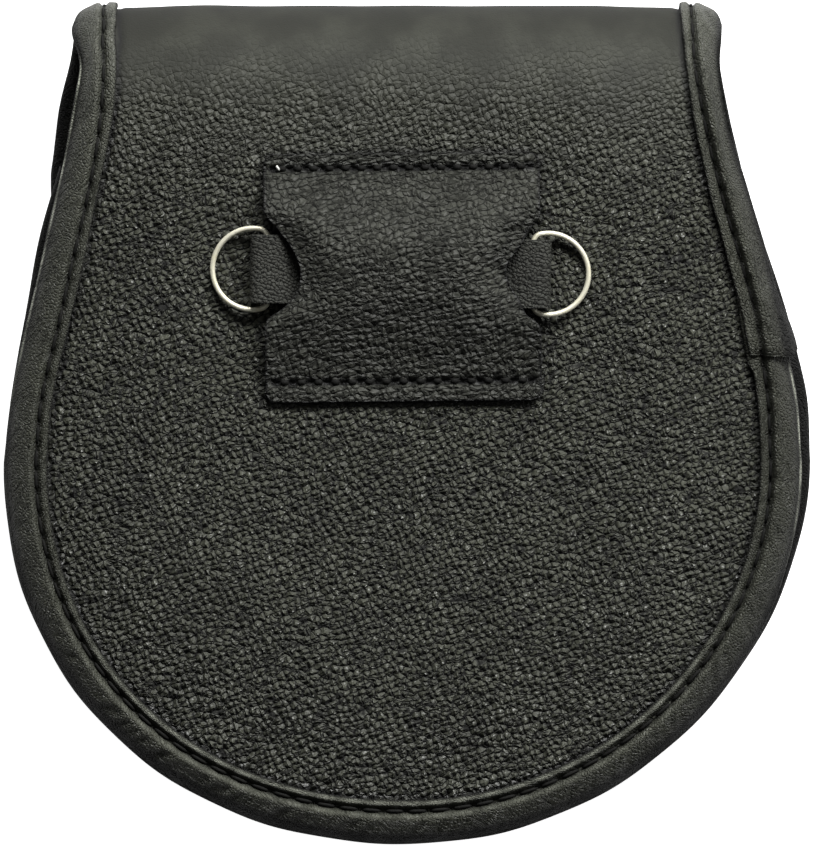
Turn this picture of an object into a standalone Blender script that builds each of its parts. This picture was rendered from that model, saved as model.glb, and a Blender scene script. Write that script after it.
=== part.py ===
"""A leather day sporran, lying on its flap with its back up.

Sizes are in millimetres up to make_object, which turns them into metres. +Z is up, +Y points to the
fold of the flap and +X to the right, seen from above. The back panel and the flap are one sheet. It is
drawn as a flat pattern, where t runs from the bottom of the back over the fold to the tip of the flap,
and fold_point bends the pattern round the fold. h is the height over the sheet's outer face.
"""

import math

import bmesh
import bpy
import numpy as np

MM = 0.001

# Leathers, and the gap that sewn pieces keep
PANEL_LEATHER = 1.4
GUSSET_LEATHER = 1.0
STRAP_LEATHER = 1.1
BINDING_SKIN = 0.9
GAP = 0.3

# Heights of the outer faces at the bound edge, and how far they bulge in the middle
BACK_Z = 32.6
BACK_CROWN = 2.2
FLAP_Z = 1.7
FLAP_CROWN = 1.7
CROWN_STARTS = 9.0
CROWN_REACH = 24.0

# The fold is half an ellipse seen from the side
FOLD_START_Y = 72.0
FOLD_REACH = 21.9
FOLD_MIDDLE_Z = (BACK_Z + FLAP_Z) / 2
FOLD_HALF_HEIGHT = (BACK_Z - FLAP_Z) / 2

# Bound edge of the pattern, measured from the middle: t, left, right
EDGE_SIDES = (
    (-8.5, 91.4, 90.2),
    (5.0, 90.2, 89.2),
    (15.0, 88.2, 87.3),
    (26.0, 85.8, 85.2),
    (38.0, 83.0, 82.4),
    (53.0, 79.6, 78.2),
    (65.0, 77.1, 74.4),
    (75.0, 75.3, 72.6),
    (83.0, 74.4, 71.6),
    (91.0, 76.2, 71.9),
    (101.0, 76.0, 72.3),
    (119.0, 77.2, 71.9),
    (131.0, 79.8, 74.2),
    (145.0, 81.7, 77.2),
)
BACK_END_T = -8.5
BACK_END_LENGTH = 87.0
BACK_END_FULLNESS = (2.12, 2.0)
FLAP_END_T = 145.0
FLAP_END_LENGTH = 83.0
MOUTH_Y = 60.0
END_STEPS = 11
SIDE_STATIONS = (-8.5, 0.0, 8.5, 16.7, 17.1, 24.0, 33.0, 42.0, 51.0, 60.0, 66.0, 72.0)
FOLD_STATIONS = (77.0, 82.0, 87.0, 92.0, 98.0, 104.0, 110.0, 117.0, 124.0, 131.0, 138.0, 145.0)

# Front panel: how much wider than the back its bound edge is (y, left, right), its height and its belly
FRONT_SPREAD = (
    (-96.0, 1.7, 1.7),
    (-60.0, 1.4, 1.6),
    (-20.0, 1.3, 3.0),
    (2.0, 1.3, 3.6),
    (20.0, 1.9, 3.0),
    (38.0, 2.1, 0.9),
    (52.0, 1.8, 0.3),
    (60.0, 1.2, 0.3),
)
FRONT_HEIGHTS = (  # y, at the bound edge, in the middle
    (-97.0, 2.0, 0.4),
    (-74.0, 2.0, 0.4),
    (-50.0, 4.3, 2.7),
    (-28.0, 6.4, 4.8),
    (-14.0, 6.4, 4.8),
    (60.0, 6.4, 4.8),
)

# Binding strip
BINDING_WIDTH = 9.7
BINDING_LIP = 2.5
BINDING_PLUMP = 1.6
LAP_T = 16.9
LAP_FADES = 18.0
LAP_OUT = 2.3
LAP_UP = 0.8

# Gusset wall, measured in from the bound edges
GUSSET_FLANGE = 1.8
GUSSET_WALL = 8.3
GUSSET_BELLOWS = 3.0
GUSSET_STEPS = 5

# Belt-loop patch
PATCH_WIDTH = 62.8
PATCH_BOTTOM_Y, PATCH_TOP_Y = 5.2, 61.8
PATCH_CENTRE_X = -0.8
PATCH_TURN = math.radians(0.6)
PATCH_SEAMS_Y = (9.8, 58.4)
PATCH_RISE = 8.4
PATCH_CORNER = 2.6
NOTCH_Y = 34.8
NOTCH_HALF_HEIGHT = 11.6
NOTCH_DEPTH = 8.3

# Ring strap and its loops
STRAP_WIDTH = 15.7
STRAP_CENTRE = (-1.25, 34.7)
STRAP_HALF_LENGTH = 34.25
STRAP_TURN = math.radians(-1.05)
STRAP_UNDER_LAYER = 13.0
LOOP_CLEARANCE = 0.45

# D-rings: the bar sits in the strap's loop
RING_WIRE = 1.2
RING_RADIUS = 9.25
RING_BAR_OFFSET = 3.5
RING_CORNER = 2.2
RING_BAR_X = 30.1
RING_CENTRES_Y = {"ring_left": 35.35, "ring_right": 34.2}

# Snap between flap and front panel
SNAP_RADIUS = 7.0
SNAP_PLACE = (-2.2, 6.0)

# The middle of the whole part, which is the origin of the frame
CENTRE = (0.65, -0.9)


def rows_at(rows, key):
    """The other columns of a table at a value of its first, on smooth curves through its rows."""
    table = np.array(rows)
    keys, values = table[:, 0], table[:, 1:]
    slopes = np.gradient(values, keys, axis=0)
    key = min(max(key, keys[0]), keys[-1])
    row = min(int(np.searchsorted(keys, key, side="right")) - 1, len(keys) - 2)
    span = keys[row + 1] - keys[row]
    u = (key - keys[row]) / span
    return (
        (1 + 2 * u) * (1 - u) ** 2 * values[row]
        + u * (1 - u) ** 2 * span * slopes[row]
        + u * u * (3 - 2 * u) * values[row + 1]
        + u * u * (u - 1) * span * slopes[row + 1]
    )


def eased(u):
    u = min(max(u, 0.0), 1.0)
    return u * u * (3 - 2 * u)


def end_point(angle, half_width, length, fullness):
    """A point on a rounded end, from its side at 0 degrees to its tip at 90."""
    power = 2 / fullness
    turn = math.radians(angle)
    return half_width * abs(math.cos(turn)) ** power, length * math.sin(turn) ** power


def edge_side(side):
    """One side of the bound edge, as (x, t) from the tip of the back to the tip of the flap."""
    column = 0 if side < 0 else 1
    fullness = BACK_END_FULLNESS[column]
    angles = np.linspace(90, 0, END_STEPS + 1)
    points = []
    for angle in angles[:-1]:
        across, down = end_point(angle, EDGE_SIDES[0][1 + column], BACK_END_LENGTH, fullness)
        points.append((side * across, BACK_END_T - down))
    for t in SIDE_STATIONS + FOLD_STATIONS:
        points.append((side * rows_at(EDGE_SIDES, t)[column], t))
    left, right = EDGE_SIDES[-1][1:]
    middle, half_width = (right - left) / 2, (right + left) / 2
    for angle in angles[::-1][1:]:
        across, down = end_point(angle, half_width, FLAP_END_LENGTH, 2.0)
        points.append((middle + side * across, FLAP_END_T + down))
    return points


def outward(points):
    """Outward normals of a closed outline that runs clockwise."""
    ahead = np.roll(points, -1, axis=0) - np.roll(points, 1, axis=0)
    normals = np.stack([-ahead[:, 1], ahead[:, 0]], axis=1)
    return normals / np.linalg.norm(normals, axis=1)[:, None]


LEFT_SIDE, RIGHT_SIDE = edge_side(-1), edge_side(1)
EDGE = np.array(LEFT_SIDE + RIGHT_SIDE[-2:0:-1])
EDGE_OUT = outward(EDGE)
STATION_COUNT = len(LEFT_SIDE)
MOUTH_STATION = END_STEPS + SIDE_STATIONS.index(MOUTH_Y)

FOLD_ANGLES = np.linspace(0, math.pi, 181)
FOLD_CURVE = np.stack(
    [FOLD_REACH * np.sin(FOLD_ANGLES), FOLD_HALF_HEIGHT * np.cos(FOLD_ANGLES)], axis=1
)
FOLD_LENGTHS = np.concatenate(
    [[0.0], np.cumsum(np.linalg.norm(np.diff(FOLD_CURVE, axis=0), axis=1))]
)


def side_point(station, side, inset=0.0):
    """The bound edge at a station of the left or the right side, moved in by inset."""
    index = station if side < 0 else -station % len(EDGE)
    return EDGE[index] - EDGE_OUT[index] * inset


def edge_distance(x, t):
    starts, ends = EDGE, np.roll(EDGE, -1, axis=0)
    along = ends - starts
    point = np.array([x, t])
    share = np.clip(((point - starts) * along).sum(1) / (along**2).sum(1), 0, 1)
    return float(np.linalg.norm(point - starts - along * share[:, None], axis=1).min())


def crown(distance):
    return eased((distance - CROWN_STARTS) / CROWN_REACH)


def profile(t):
    """Height line of the sheet at t: y, z and the outward normal's y and z."""
    along = t - FOLD_START_Y
    if along <= 0:
        return t, BACK_Z, 0.0, 1.0
    if along >= FOLD_LENGTHS[-1]:
        return FOLD_START_Y - (along - FOLD_LENGTHS[-1]), FLAP_Z, 0.0, -1.0
    angle = float(np.interp(along, FOLD_LENGTHS, FOLD_ANGLES))
    normal_y, normal_z = FOLD_HALF_HEIGHT * math.sin(angle), FOLD_REACH * math.cos(angle)
    size = math.hypot(normal_y, normal_z)
    y = FOLD_START_Y + FOLD_REACH * math.sin(angle)
    z = FOLD_MIDDLE_Z + FOLD_HALF_HEIGHT * math.cos(angle)
    return y, z, normal_y / size, normal_z / size


def fold_point(x, t, h):
    """A point of the flat pattern of back and flap, bent into place."""
    y, z, normal_y, normal_z = profile(t)
    share = eased((t - FOLD_START_Y) / FOLD_LENGTHS[-1])
    height = BACK_CROWN + (FLAP_CROWN - BACK_CROWN) * share
    lift = height * crown(edge_distance(x, t)) + h
    return x, y + normal_y * lift, z + normal_z * lift


def back_top(x, y):
    """Height of the back panel's outer face."""
    return fold_point(x, y, 0.0)[2]


def flap_inside(x, y):
    """Height of the flap's inner face."""
    return fold_point(x, 2 * FOLD_START_Y + FOLD_LENGTHS[-1] - y, -PANEL_LEATHER)[2]


def front_edge_point(station, side, inset=0.0):
    """The bound edge of the front panel, station by station beside the back's."""
    index = station if side < 0 else -station % len(EDGE)
    y = EDGE[index][1]
    column = 0 if side < 0 else 1
    return EDGE[index] + EDGE_OUT[index] * (rows_at(FRONT_SPREAD, y)[column] - inset)


def front_point(x, y, h):
    """A point of the front panel, h out from its outer face."""
    at_edge, in_middle = rows_at(FRONT_HEIGHTS, y)
    return x, y, at_edge + (in_middle - at_edge) * crown(edge_distance(x, y)) - h


def make_material(name, colour, roughness, metallic=0.0):
    material = bpy.data.materials.new(name)
    material.use_nodes = True
    shader = material.node_tree.nodes["Principled BSDF"]
    shader.inputs["Base Color"].default_value = (*colour, 1.0)
    shader.inputs["Roughness"].default_value = roughness
    shader.inputs["Metallic"].default_value = metallic
    return material


def make_object(name, bm, material):
    """Closes a piece: metres, outward faces, smooth shading with crisp edges."""
    for vert in bm.verts:
        vert.co = ((vert.co.x - CENTRE[0]) * MM, (vert.co.y - CENTRE[1]) * MM, vert.co.z * MM)
    bmesh.ops.recalc_face_normals(bm, faces=bm.faces)
    mesh = bpy.data.meshes.new(name)
    bm.to_mesh(mesh)
    bm.free()
    mesh.shade_smooth()
    mesh.set_sharp_from_angle(angle=math.radians(40))
    mesh.materials.append(material)
    piece = bpy.data.objects.new(name, mesh)
    bpy.context.scene.collection.objects.link(piece)
    return piece


def slab(rows, place, thickness):
    """A sheet of leather over rows of points: its face, its under side and its rim."""
    bm = bmesh.new()
    face = [[bm.verts.new(place(u, v, 0.0)) for u, v in row] for row in rows]
    under = [[bm.verts.new(place(u, v, -thickness)) for u, v in row] for row in rows]
    for near, far, near_under, far_under in zip(face, face[1:], under, under[1:]):
        for k in range(len(near) - 1):
            bm.faces.new((near[k], near[k + 1], far[k + 1], far[k]))
            bm.faces.new((near_under[k], far_under[k], far_under[k + 1], near_under[k + 1]))
    rims = [
        (face[0], under[0]),
        (face[-1], under[-1]),
        ([row[0] for row in face], [row[0] for row in under]),
        ([row[-1] for row in face], [row[-1] for row in under]),
    ]
    for top, bottom in rims:
        for k in range(len(top) - 1):
            bm.faces.new((top[k], bottom[k], bottom[k + 1], top[k + 1]))
    return bm


def sweep(rings, closed):
    """A skin over section rings, round and back to the first or with a cap at each end."""
    bm = bmesh.new()
    turns = [[bm.verts.new(point) for point in ring] for ring in rings]
    following = turns[1:] + turns[:1] if closed else turns[1:]
    for near, far in zip(turns, following):
        for k in range(len(near)):
            after = (k + 1) % len(near)
            bm.faces.new((near[k], near[after], far[after], far[k]))
    if not closed:
        bm.faces.new(turns[0])
        bm.faces.new(turns[-1])
    return bm


def across(left, right, shares):
    """Points from left to right at shares of the way."""
    left, right = np.array(left), np.array(right)
    return [tuple(left + (right - left) * share) for share in shares]


def make_back_and_flap(material):
    inset = BINDING_SKIN + GAP
    shares = (0.0, 0.06, 0.13, 0.22, 0.5, 0.78, 0.87, 0.94, 1.0)
    rows = [
        across(side_point(k, -1, inset), side_point(k, 1, inset), shares)
        for k in range(1, STATION_COUNT - 1)
    ]
    return make_object("back_and_flap", slab(rows, fold_point, PANEL_LEATHER), material)


def make_front_panel(material):
    inset = BINDING_SKIN + GAP
    shares = (0.0, 0.07, 0.15, 0.24, 0.5, 0.76, 0.85, 0.93, 1.0)
    rows = [
        across(front_edge_point(k, -1, inset), front_edge_point(k, 1, inset), shares)
        for k in range(1, MOUTH_STATION + 1)
    ]
    return make_object("front_panel", slab(rows, front_point, PANEL_LEATHER), material)


def binding_section(under, lap):
    """One turn of the binding strip, as (distance in from the edge, height over the face).

    under is how thick the sewn edge is that it wraps, and lap is 1 where the strip's end lies over
    its own start.
    """
    out, up = LAP_OUT * lap, LAP_UP * lap
    lip = GAP + BINDING_SKIN
    groove = BINDING_WIDTH - BINDING_LIP
    below = -under - GAP
    return [
        (BINDING_WIDTH, GAP),
        (BINDING_WIDTH, lip + up),
        (groove, lip - 0.2 + up),
        (groove - 0.9, BINDING_PLUMP + up),
        (3.4 - out * 0.4, BINDING_PLUMP + 0.1 + up),
        (1.0 - out, lip + up),
        (-out, -0.1),
        (-out, below + 0.1),
        (1.2 - out, below - BINDING_SKIN - up * 0.5),
        (7.6, below - BINDING_SKIN),
        (7.6, below),
        (BINDING_SKIN, below),
        (BINDING_SKIN, GAP),
    ]


def make_edge_binding(material):
    sewn_in = GAP + GUSSET_LEATHER
    rings = []
    for index, (x, t) in enumerate(EDGE):
        with_gusset = 1 - eased((t - MOUTH_Y - 2) / 6)
        lap = 1 - eased((t - LAP_T) / LAP_FADES) if x > 0 and t > LAP_T else 0.0
        section = binding_section(PANEL_LEATHER + sewn_in * with_gusset, lap)
        ring = []
        for inset, h in section:
            px, pt = EDGE[index] - EDGE_OUT[index] * inset
            ring.append(fold_point(px, pt, h))
        rings.append(ring)
    return make_object("edge_binding", sweep(rings, closed=True), material)


def front_stations():
    """Stations of the front seam, from the mouth's left end round the bottom to its right end."""
    left = [(k, -1) for k in range(MOUTH_STATION, -1, -1)]
    return left + [(k, 1) for k in range(1, MOUTH_STATION + 1)]


def make_front_binding(material):
    section = binding_section(PANEL_LEATHER + GAP + GUSSET_LEATHER, 0.0)
    rings = []
    for station, side in front_stations():
        rings.append([front_point(*front_edge_point(station, side, inset), h) for inset, h in section])
    return make_object("front_binding", sweep(rings, closed=False), material)


def gusset_section():
    """The gusset's outline as (share of the way to the front, inset, height from that seam)."""
    inner = GUSSET_WALL + GUSSET_LEATHER
    wall = np.linspace(0, 1, GUSSET_STEPS + 2)[1:-1]
    bulge = [GUSSET_BELLOWS * math.sin(math.pi * share) ** 2 for share in wall]
    outside = [(share, GUSSET_WALL - out, 0.0) for share, out in zip(wall, bulge)]
    inside = [(share, inner - out, 0.0) for share, out in zip(wall, bulge)]
    return (
        [(0, GUSSET_FLANGE, 0.0), (0, GUSSET_FLANGE, -GUSSET_LEATHER), (0, GUSSET_WALL, -GUSSET_LEATHER)]
        + outside
        + [(1, GUSSET_WALL, GUSSET_LEATHER), (1, GUSSET_FLANGE, GUSSET_LEATHER), (1, GUSSET_FLANGE, 0.0)]
        + [(1, inner, 0.0)]
        + inside[::-1]
        + [(0, inner, 0.0)]
    )


def make_gusset(material):
    back_seam = BACK_Z - PANEL_LEATHER - GAP
    rings = []
    for station, side in front_stations():
        ring = []
        for share, inset, height in gusset_section():
            back = side_point(station, side, inset)
            front = front_edge_point(station, side, inset)
            x, y = back + (front - back) * share
            front_seam = front_point(*front, -PANEL_LEATHER - GAP)[2]
            ring.append((x, y, back_seam + (front_seam - back_seam) * share + height))
        rings.append(ring)
    return make_object("gusset", sweep(rings, closed=False), material)


def patch_half_width(y):
    """Half the patch's width at y, with its rounded corners and the notch in each side."""
    half = PATCH_WIDTH / 2
    from_end = min(y - PATCH_BOTTOM_Y, PATCH_TOP_Y - y)
    if from_end < PATCH_CORNER:
        half -= PATCH_CORNER - math.sqrt(PATCH_CORNER**2 - (PATCH_CORNER - from_end) ** 2)
    reach = 1 - ((y - NOTCH_Y) / NOTCH_HALF_HEIGHT) ** 2
    return half - NOTCH_DEPTH * max(reach, 0.0) ** 0.62


def patch_arch(y):
    """Height of the patch over the back: sewn down at its two seams, arched between them."""
    low, high = PATCH_SEAMS_Y
    u = (y - (low + high) / 2) / ((high - low) / 2)
    return PATCH_RISE * math.cos(math.pi / 2 * min(abs(u), 1.0)) ** 1.5


def patch_point(x, y, h):
    cos, sin = math.cos(PATCH_TURN), math.sin(PATCH_TURN)
    dy = y - NOTCH_Y
    px, py = PATCH_CENTRE_X + x * cos - dy * sin, NOTCH_Y + x * sin + dy * cos
    return px, py, back_top(px, py) + GAP + PANEL_LEATHER + patch_arch(y) + h


def make_loop_patch(material):
    corner = [PATCH_CORNER * share for share in (0.0, 0.12, 0.5)]
    levels = [PATCH_BOTTOM_Y + rise for rise in corner] + [9.8, 13.5, 17.0, 20.5]
    levels += [NOTCH_Y + NOTCH_HALF_HEIGHT * u for u in (-1, -0.92, -0.7, -0.35, 0, 0.35, 0.7, 0.92, 1)]
    levels += [50.0, 54.0, 58.4] + [PATCH_TOP_Y - rise for rise in corner[::-1]]
    rows = []
    for y in levels:
        half = patch_half_width(y)
        rows.append(across((-half, y), (half, y), (0.0, 0.25, 0.75, 1.0)))
    return make_object("loop_patch", slab(rows, patch_point, PANEL_LEATHER), material)


def strap_side():
    """Middle line of one end of the strap from the side, as (distance from its centre, height)."""
    half = STRAP_LEATHER / 2
    under = GAP + half
    loop_radius = (RING_WIRE + 2 * LOOP_CLEARANCE) / 2 + half
    loop_x = STRAP_HALF_LENGTH - loop_radius - half
    folded = STRAP_HALF_LENGTH - STRAP_UNDER_LAYER
    points = [(folded, under), (loop_x, under)]
    for angle in np.linspace(-75, 75, 7):
        turn = math.radians(angle)
        points.append((loop_x + loop_radius * math.cos(turn), under + loop_radius * (1 + math.sin(turn))))
    double = under + STRAP_LEATHER + GAP
    points += [(loop_x, under + 2 * loop_radius), (loop_x - 4.6, under + 2 * loop_radius)]
    points += [(loop_x - 7.0, double), (folded - 0.8, double), (folded - 4.0, under)]
    return points


def thickened(line, thickness):
    """Outline of a line drawn with a thickness."""
    line = np.array(line)
    ahead = np.gradient(line, axis=0)
    normals = np.stack([-ahead[:, 1], ahead[:, 0]], axis=1)
    normals /= np.linalg.norm(normals, axis=1)[:, None]
    side = normals * thickness / 2
    return np.concatenate([line + side, (line - side)[::-1]])


def make_ring_strap(material):
    end = strap_side()
    line = [(-x, h) for x, h in end] + end[::-1]
    outline = thickened(line, STRAP_LEATHER)
    cos, sin = math.cos(STRAP_TURN), math.sin(STRAP_TURN)
    rings = []
    for across_strap in (-STRAP_WIDTH / 2, STRAP_WIDTH / 2):
        ring = []
        for along, h in outline:
            x = STRAP_CENTRE[0] + along * cos - across_strap * sin
            y = STRAP_CENTRE[1] + along * sin + across_strap * cos
            ring.append((x, y, BACK_Z + BACK_CROWN + h))
        rings.append(ring)
    return make_object("ring_strap", sweep(rings, closed=False), material)


def ring_path():
    """Wire of a D-ring round its bar's middle, lying flat, with the ring towards -X."""
    inner = RING_RADIUS - RING_CORNER
    corner_y = math.sqrt(inner**2 - (RING_BAR_OFFSET - RING_CORNER) ** 2)
    meets = math.atan2(corner_y, RING_BAR_OFFSET - RING_CORNER)
    upper = []
    for turn in np.linspace(0, meets, 5):
        upper.append((RING_CORNER * (math.cos(turn) - 1), corner_y + RING_CORNER * math.sin(turn)))
    for turn in np.linspace(meets, math.pi, 13)[1:]:
        upper.append((RING_RADIUS * math.cos(turn) - RING_BAR_OFFSET, RING_RADIUS * math.sin(turn)))
    return upper + [(x, -y) for x, y in upper[-2::-1]]


def make_ring(name, side, material):
    """A D-ring on its bar's axis, tipped so that its far side rests on the back panel."""
    curve = bpy.data.curves.new(name, "CURVE")
    curve.dimensions = "3D"
    curve.bevel_depth = RING_WIRE / 2 * MM
    curve.bevel_resolution = 3
    points = ring_path()
    spline = curve.splines.new("POLY")
    spline.points.add(len(points) - 1)
    for point, (x, y) in zip(spline.points, points):
        point.co = (-side * x * MM, -side * y * MM, 0.0, 1.0)
    spline.use_cyclic_u = True
    bar_h = GAP + STRAP_LEATHER + LOOP_CLEARANCE + RING_WIRE / 2
    drop = bar_h - GAP - RING_WIRE / 2
    ring = bpy.data.objects.new(name, curve)
    ring.location = (
        (STRAP_CENTRE[0] + side * RING_BAR_X - CENTRE[0]) * MM,
        (RING_CENTRES_Y[name] - CENTRE[1]) * MM,
        (BACK_Z + BACK_CROWN + bar_h) * MM,
    )
    ring.rotation_euler = (0.0, side * math.asin(drop / (RING_RADIUS + RING_BAR_OFFSET)), 0.0)
    curve.materials.append(material)
    bpy.context.scene.collection.objects.link(ring)


def make_snap_fastener(material):
    """A flat disc between the flap's inner face and the front panel."""
    x, y = SNAP_PLACE
    low = flap_inside(x, y - SNAP_RADIUS) + GAP
    high = front_point(x, y, 0.0)[2] - GAP
    bm = bmesh.new()
    bmesh.ops.create_cone(
        bm, cap_ends=True, segments=24, radius1=SNAP_RADIUS, radius2=SNAP_RADIUS, depth=high - low
    )
    bmesh.ops.translate(bm, verts=bm.verts, vec=(x, y, (high + low) / 2))
    return make_object("snap_fastener", bm, material)


def main():
    for thing in list(bpy.data.objects):
        bpy.data.objects.remove(thing)
    grained = make_material("grained_leather", (0.045, 0.046, 0.041), 0.5)
    smooth = make_material("binding_leather", (0.05, 0.051, 0.046), 0.42)
    strap = make_material("strap_leather", (0.042, 0.041, 0.037), 0.5)
    nickel = make_material("ring_metal", (0.78, 0.76, 0.68), 0.2, metallic=1.0)
    steel = make_material("snap_metal", (0.6, 0.6, 0.58), 0.35, metallic=1.0)
    make_back_and_flap(grained)
    make_front_panel(grained)
    make_gusset(smooth)
    make_edge_binding(smooth)
    make_front_binding(smooth)
    make_loop_patch(grained)
    make_ring_strap(strap)
    make_ring("ring_left", -1, nickel)
    make_ring("ring_right", 1, nickel)
    make_snap_fastener(steel)


main()
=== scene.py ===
import math

import bpy
import numpy as np
from mathutils import Matrix, Vector


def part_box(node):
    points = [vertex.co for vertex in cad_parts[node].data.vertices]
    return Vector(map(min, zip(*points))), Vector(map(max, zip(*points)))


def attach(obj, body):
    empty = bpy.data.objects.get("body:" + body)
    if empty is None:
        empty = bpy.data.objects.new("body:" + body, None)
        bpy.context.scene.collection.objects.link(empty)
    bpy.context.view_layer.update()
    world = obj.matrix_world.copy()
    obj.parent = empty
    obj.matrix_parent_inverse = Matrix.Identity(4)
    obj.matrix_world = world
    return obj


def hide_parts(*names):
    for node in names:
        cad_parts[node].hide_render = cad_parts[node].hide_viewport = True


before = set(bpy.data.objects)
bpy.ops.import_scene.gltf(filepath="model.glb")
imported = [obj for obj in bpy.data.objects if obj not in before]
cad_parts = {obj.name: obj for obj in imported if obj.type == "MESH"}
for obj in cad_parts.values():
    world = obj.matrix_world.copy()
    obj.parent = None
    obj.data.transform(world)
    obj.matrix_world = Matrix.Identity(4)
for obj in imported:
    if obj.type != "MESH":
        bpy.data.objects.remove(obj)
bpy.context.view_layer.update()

mm = 0.001
middle = np.array([0.65, -0.9, 0.0])  # the frame's origin in the cut pattern, in mm


def deselect():
    bpy.ops.object.select_all(action="DESELECT")


def only(piece):
    deselect()
    piece.select_set(True)
    bpy.context.view_layer.objects.active = piece


def named(name):
    piece = bpy.context.active_object
    piece.name = name
    piece.data.name = name
    return piece


def addGrid(name, columns, rows):
    # a flat grid of unit size about the origin, and its points
    deselect()
    bpy.ops.mesh.primitive_grid_add(x_subdivisions=columns, y_subdivisions=rows, size=1)
    piece = named(name)
    return piece, readPoints(piece)


def readPoints(piece):
    points = np.empty(len(piece.data.vertices) * 3)
    piece.data.vertices.foreach_get("co", points)
    return points.reshape(-1, 3)


def writePoints(piece, points):
    piece.data.vertices.foreach_set("co", np.asarray(points, np.float32).ravel())
    piece.data.update()


def modify(piece, kind, **settings):
    only(piece)
    modifier = piece.modifiers.new(kind.title(), kind)
    for setting, value in settings.items():
        setattr(modifier, setting, value)
    bpy.ops.object.modifier_apply(modifier=modifier.name)


def keepPattern(piece, points):
    # where each point lies on the flat leather, in metres; the materials read it
    attribute = piece.data.attributes.new("pattern", "FLOAT_VECTOR", "POINT")
    attribute.data.foreach_set("vector", np.asarray(points, np.float32).ravel())


def keepMask(piece, name, values):
    # a value from 0 to 1 at each point, such as grime in a crease; the materials read it
    attribute = piece.data.attributes.new(name, "FLOAT", "POINT")
    attribute.data.foreach_set("value", np.asarray(values, np.float32).ravel())


def toFrame(points):
    return (points - middle) * mm


def rested(points):
    # flattened a little where it would reach below the floor
    lowest, soft = 0.02 * mm, 0.22 * mm
    points[..., 2] = lowest + soft * np.logaddexp(0, (points[..., 2] - lowest) / soft)
    return points


def finishPiece(piece, material, body="pouch", replaces=(), angle=50):
    only(piece)
    bpy.ops.object.transform_apply(location=True, rotation=True, scale=True)
    bpy.ops.object.mode_set(mode="EDIT")
    bpy.ops.mesh.select_all(action="SELECT")
    bpy.ops.mesh.normals_make_consistent(inside=False)
    bpy.ops.object.mode_set(mode="OBJECT")
    bpy.ops.object.shade_smooth_by_angle(angle=math.radians(angle))
    piece.data.materials.clear()
    piece.data.materials.append(material)
    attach(piece, body)
    if replaces:
        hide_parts(*replaces)


def eased(u):
    # a smooth step from 0 to 1
    u = np.clip(u, 0.0, 1.0)
    return u * u * (3 - 2 * u)


def bell(value, reach):
    # 1 where value is 0, fading away on both sides
    return np.exp(-((value / reach) ** 2))


def lengthsOf(line):
    # how far along the line each of its points lies
    return np.concatenate([[0], np.cumsum(np.linalg.norm(np.diff(line, axis=0), axis=1))])


def turnedAbout(centre, angle, x, y):
    # x and y are measured from the centre
    cos, sin = math.cos(angle), math.sin(angle)
    return centre[0] + x * cos - y * sin, centre[1] + x * sin + y * cos


def rowsAt(rows, keys):
    # the other columns of a table, on smooth curves through its rows
    table = np.array(rows, float)
    at, values = table[:, 0], table[:, 1:]
    slopes = np.gradient(values, at, axis=0)
    keys = np.clip(keys, at[0], at[-1])
    row = np.clip(np.searchsorted(at, keys, side="right") - 1, 0, len(at) - 2)
    span = (at[row + 1] - at[row])[..., None]
    u = (keys - at[row])[..., None] / span
    return (
        (1 + 2 * u) * (1 - u) ** 2 * values[row]
        + u * (1 - u) ** 2 * span * slopes[row]
        + u * u * (3 - 2 * u) * values[row + 1]
        + u * u * (u - 1) * span * slopes[row + 1]
    )


def waves(points, seed):
    # slow bumps between -1 and 1 over the leather, for points in mm
    turns = ((0.31, 0.11), (-0.17, 0.27), (0.07, -0.36), (0.23, 0.29), (-0.41, 0.05))
    total = 0.0
    for k, (a, b) in enumerate(turns):
        total = total + np.sin(points[..., 0] * a + points[..., 1] * b + seed * (k + 1.7))
    return total / len(turns)


# the cut pattern in mm: back and flap in one sheet, t runs from the back's bottom over the fold
pattern = {
    "backZ": 32.6,  # heights of the outer faces beside the binding
    "backCrown": 2.2,
    "flapZ": 1.7,
    "flapCrown": 1.7,
    "crownStarts": 9.0,  # distances from the bound edge
    "crownReach": 24.0,
    "sagStarts": 9.0,
    "sagReach": 14.0,
    "foldStart": 72.0,
    "foldReach": 21.9,
    "backEnd": -8.5,
    "backLength": 87.0,
    "backFullness": (2.12, 2.0),
    "flapEnd": 145.0,
    "flapLength": 83.0,
    "mouth": 60.0,
    "foldSpread": math.radians(36),
    "foldFullness": 0.75,
    "cornerDrop": 2.7,
    "cornerReach": 7.6,
    "cornerShape": 1.3,
    "leather": 1.4,
    "gap": 0.3,
    "edge": (  # t, left, right
        (-8.5, 91.4, 90.2),
        (5.0, 90.2, 89.2),
        (15.0, 88.2, 87.3),
        (26.0, 85.8, 85.2),
        (38.0, 83.0, 82.4),
        (53.0, 79.6, 78.2),
        (65.0, 77.1, 74.4),
        (75.0, 75.3, 72.6),
        (83.0, 74.4, 71.6),
        (91.0, 76.2, 71.9),
        (101.0, 76.0, 72.3),
        (119.0, 77.2, 71.9),
        (131.0, 79.8, 74.2),
        (145.0, 81.7, 77.2),
    ),
    "frontSpread": (  # y, left, right
        (-96.0, 0.9, 0.9),
        (-60.0, 1.0, 0.9),
        (-20.0, 1.0, 2.2),
        (2.0, 0.7, 2.9),
        (20.0, 1.1, 2.6),
        (38.0, 2.1, 0.9),
        (52.0, 1.8, 0.3),
        (60.0, 1.2, 0.3),
    ),
    "frontHeights": (  # y, at the edge, in the middle
        (-97.0, 2.0, 0.4),
        (-74.0, 2.0, 0.4),
        (-50.0, 4.3, 2.7),
        (-28.0, 6.4, 4.8),
        (-14.0, 6.4, 4.8),
        (60.0, 6.4, 4.8),
    ),
}

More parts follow.
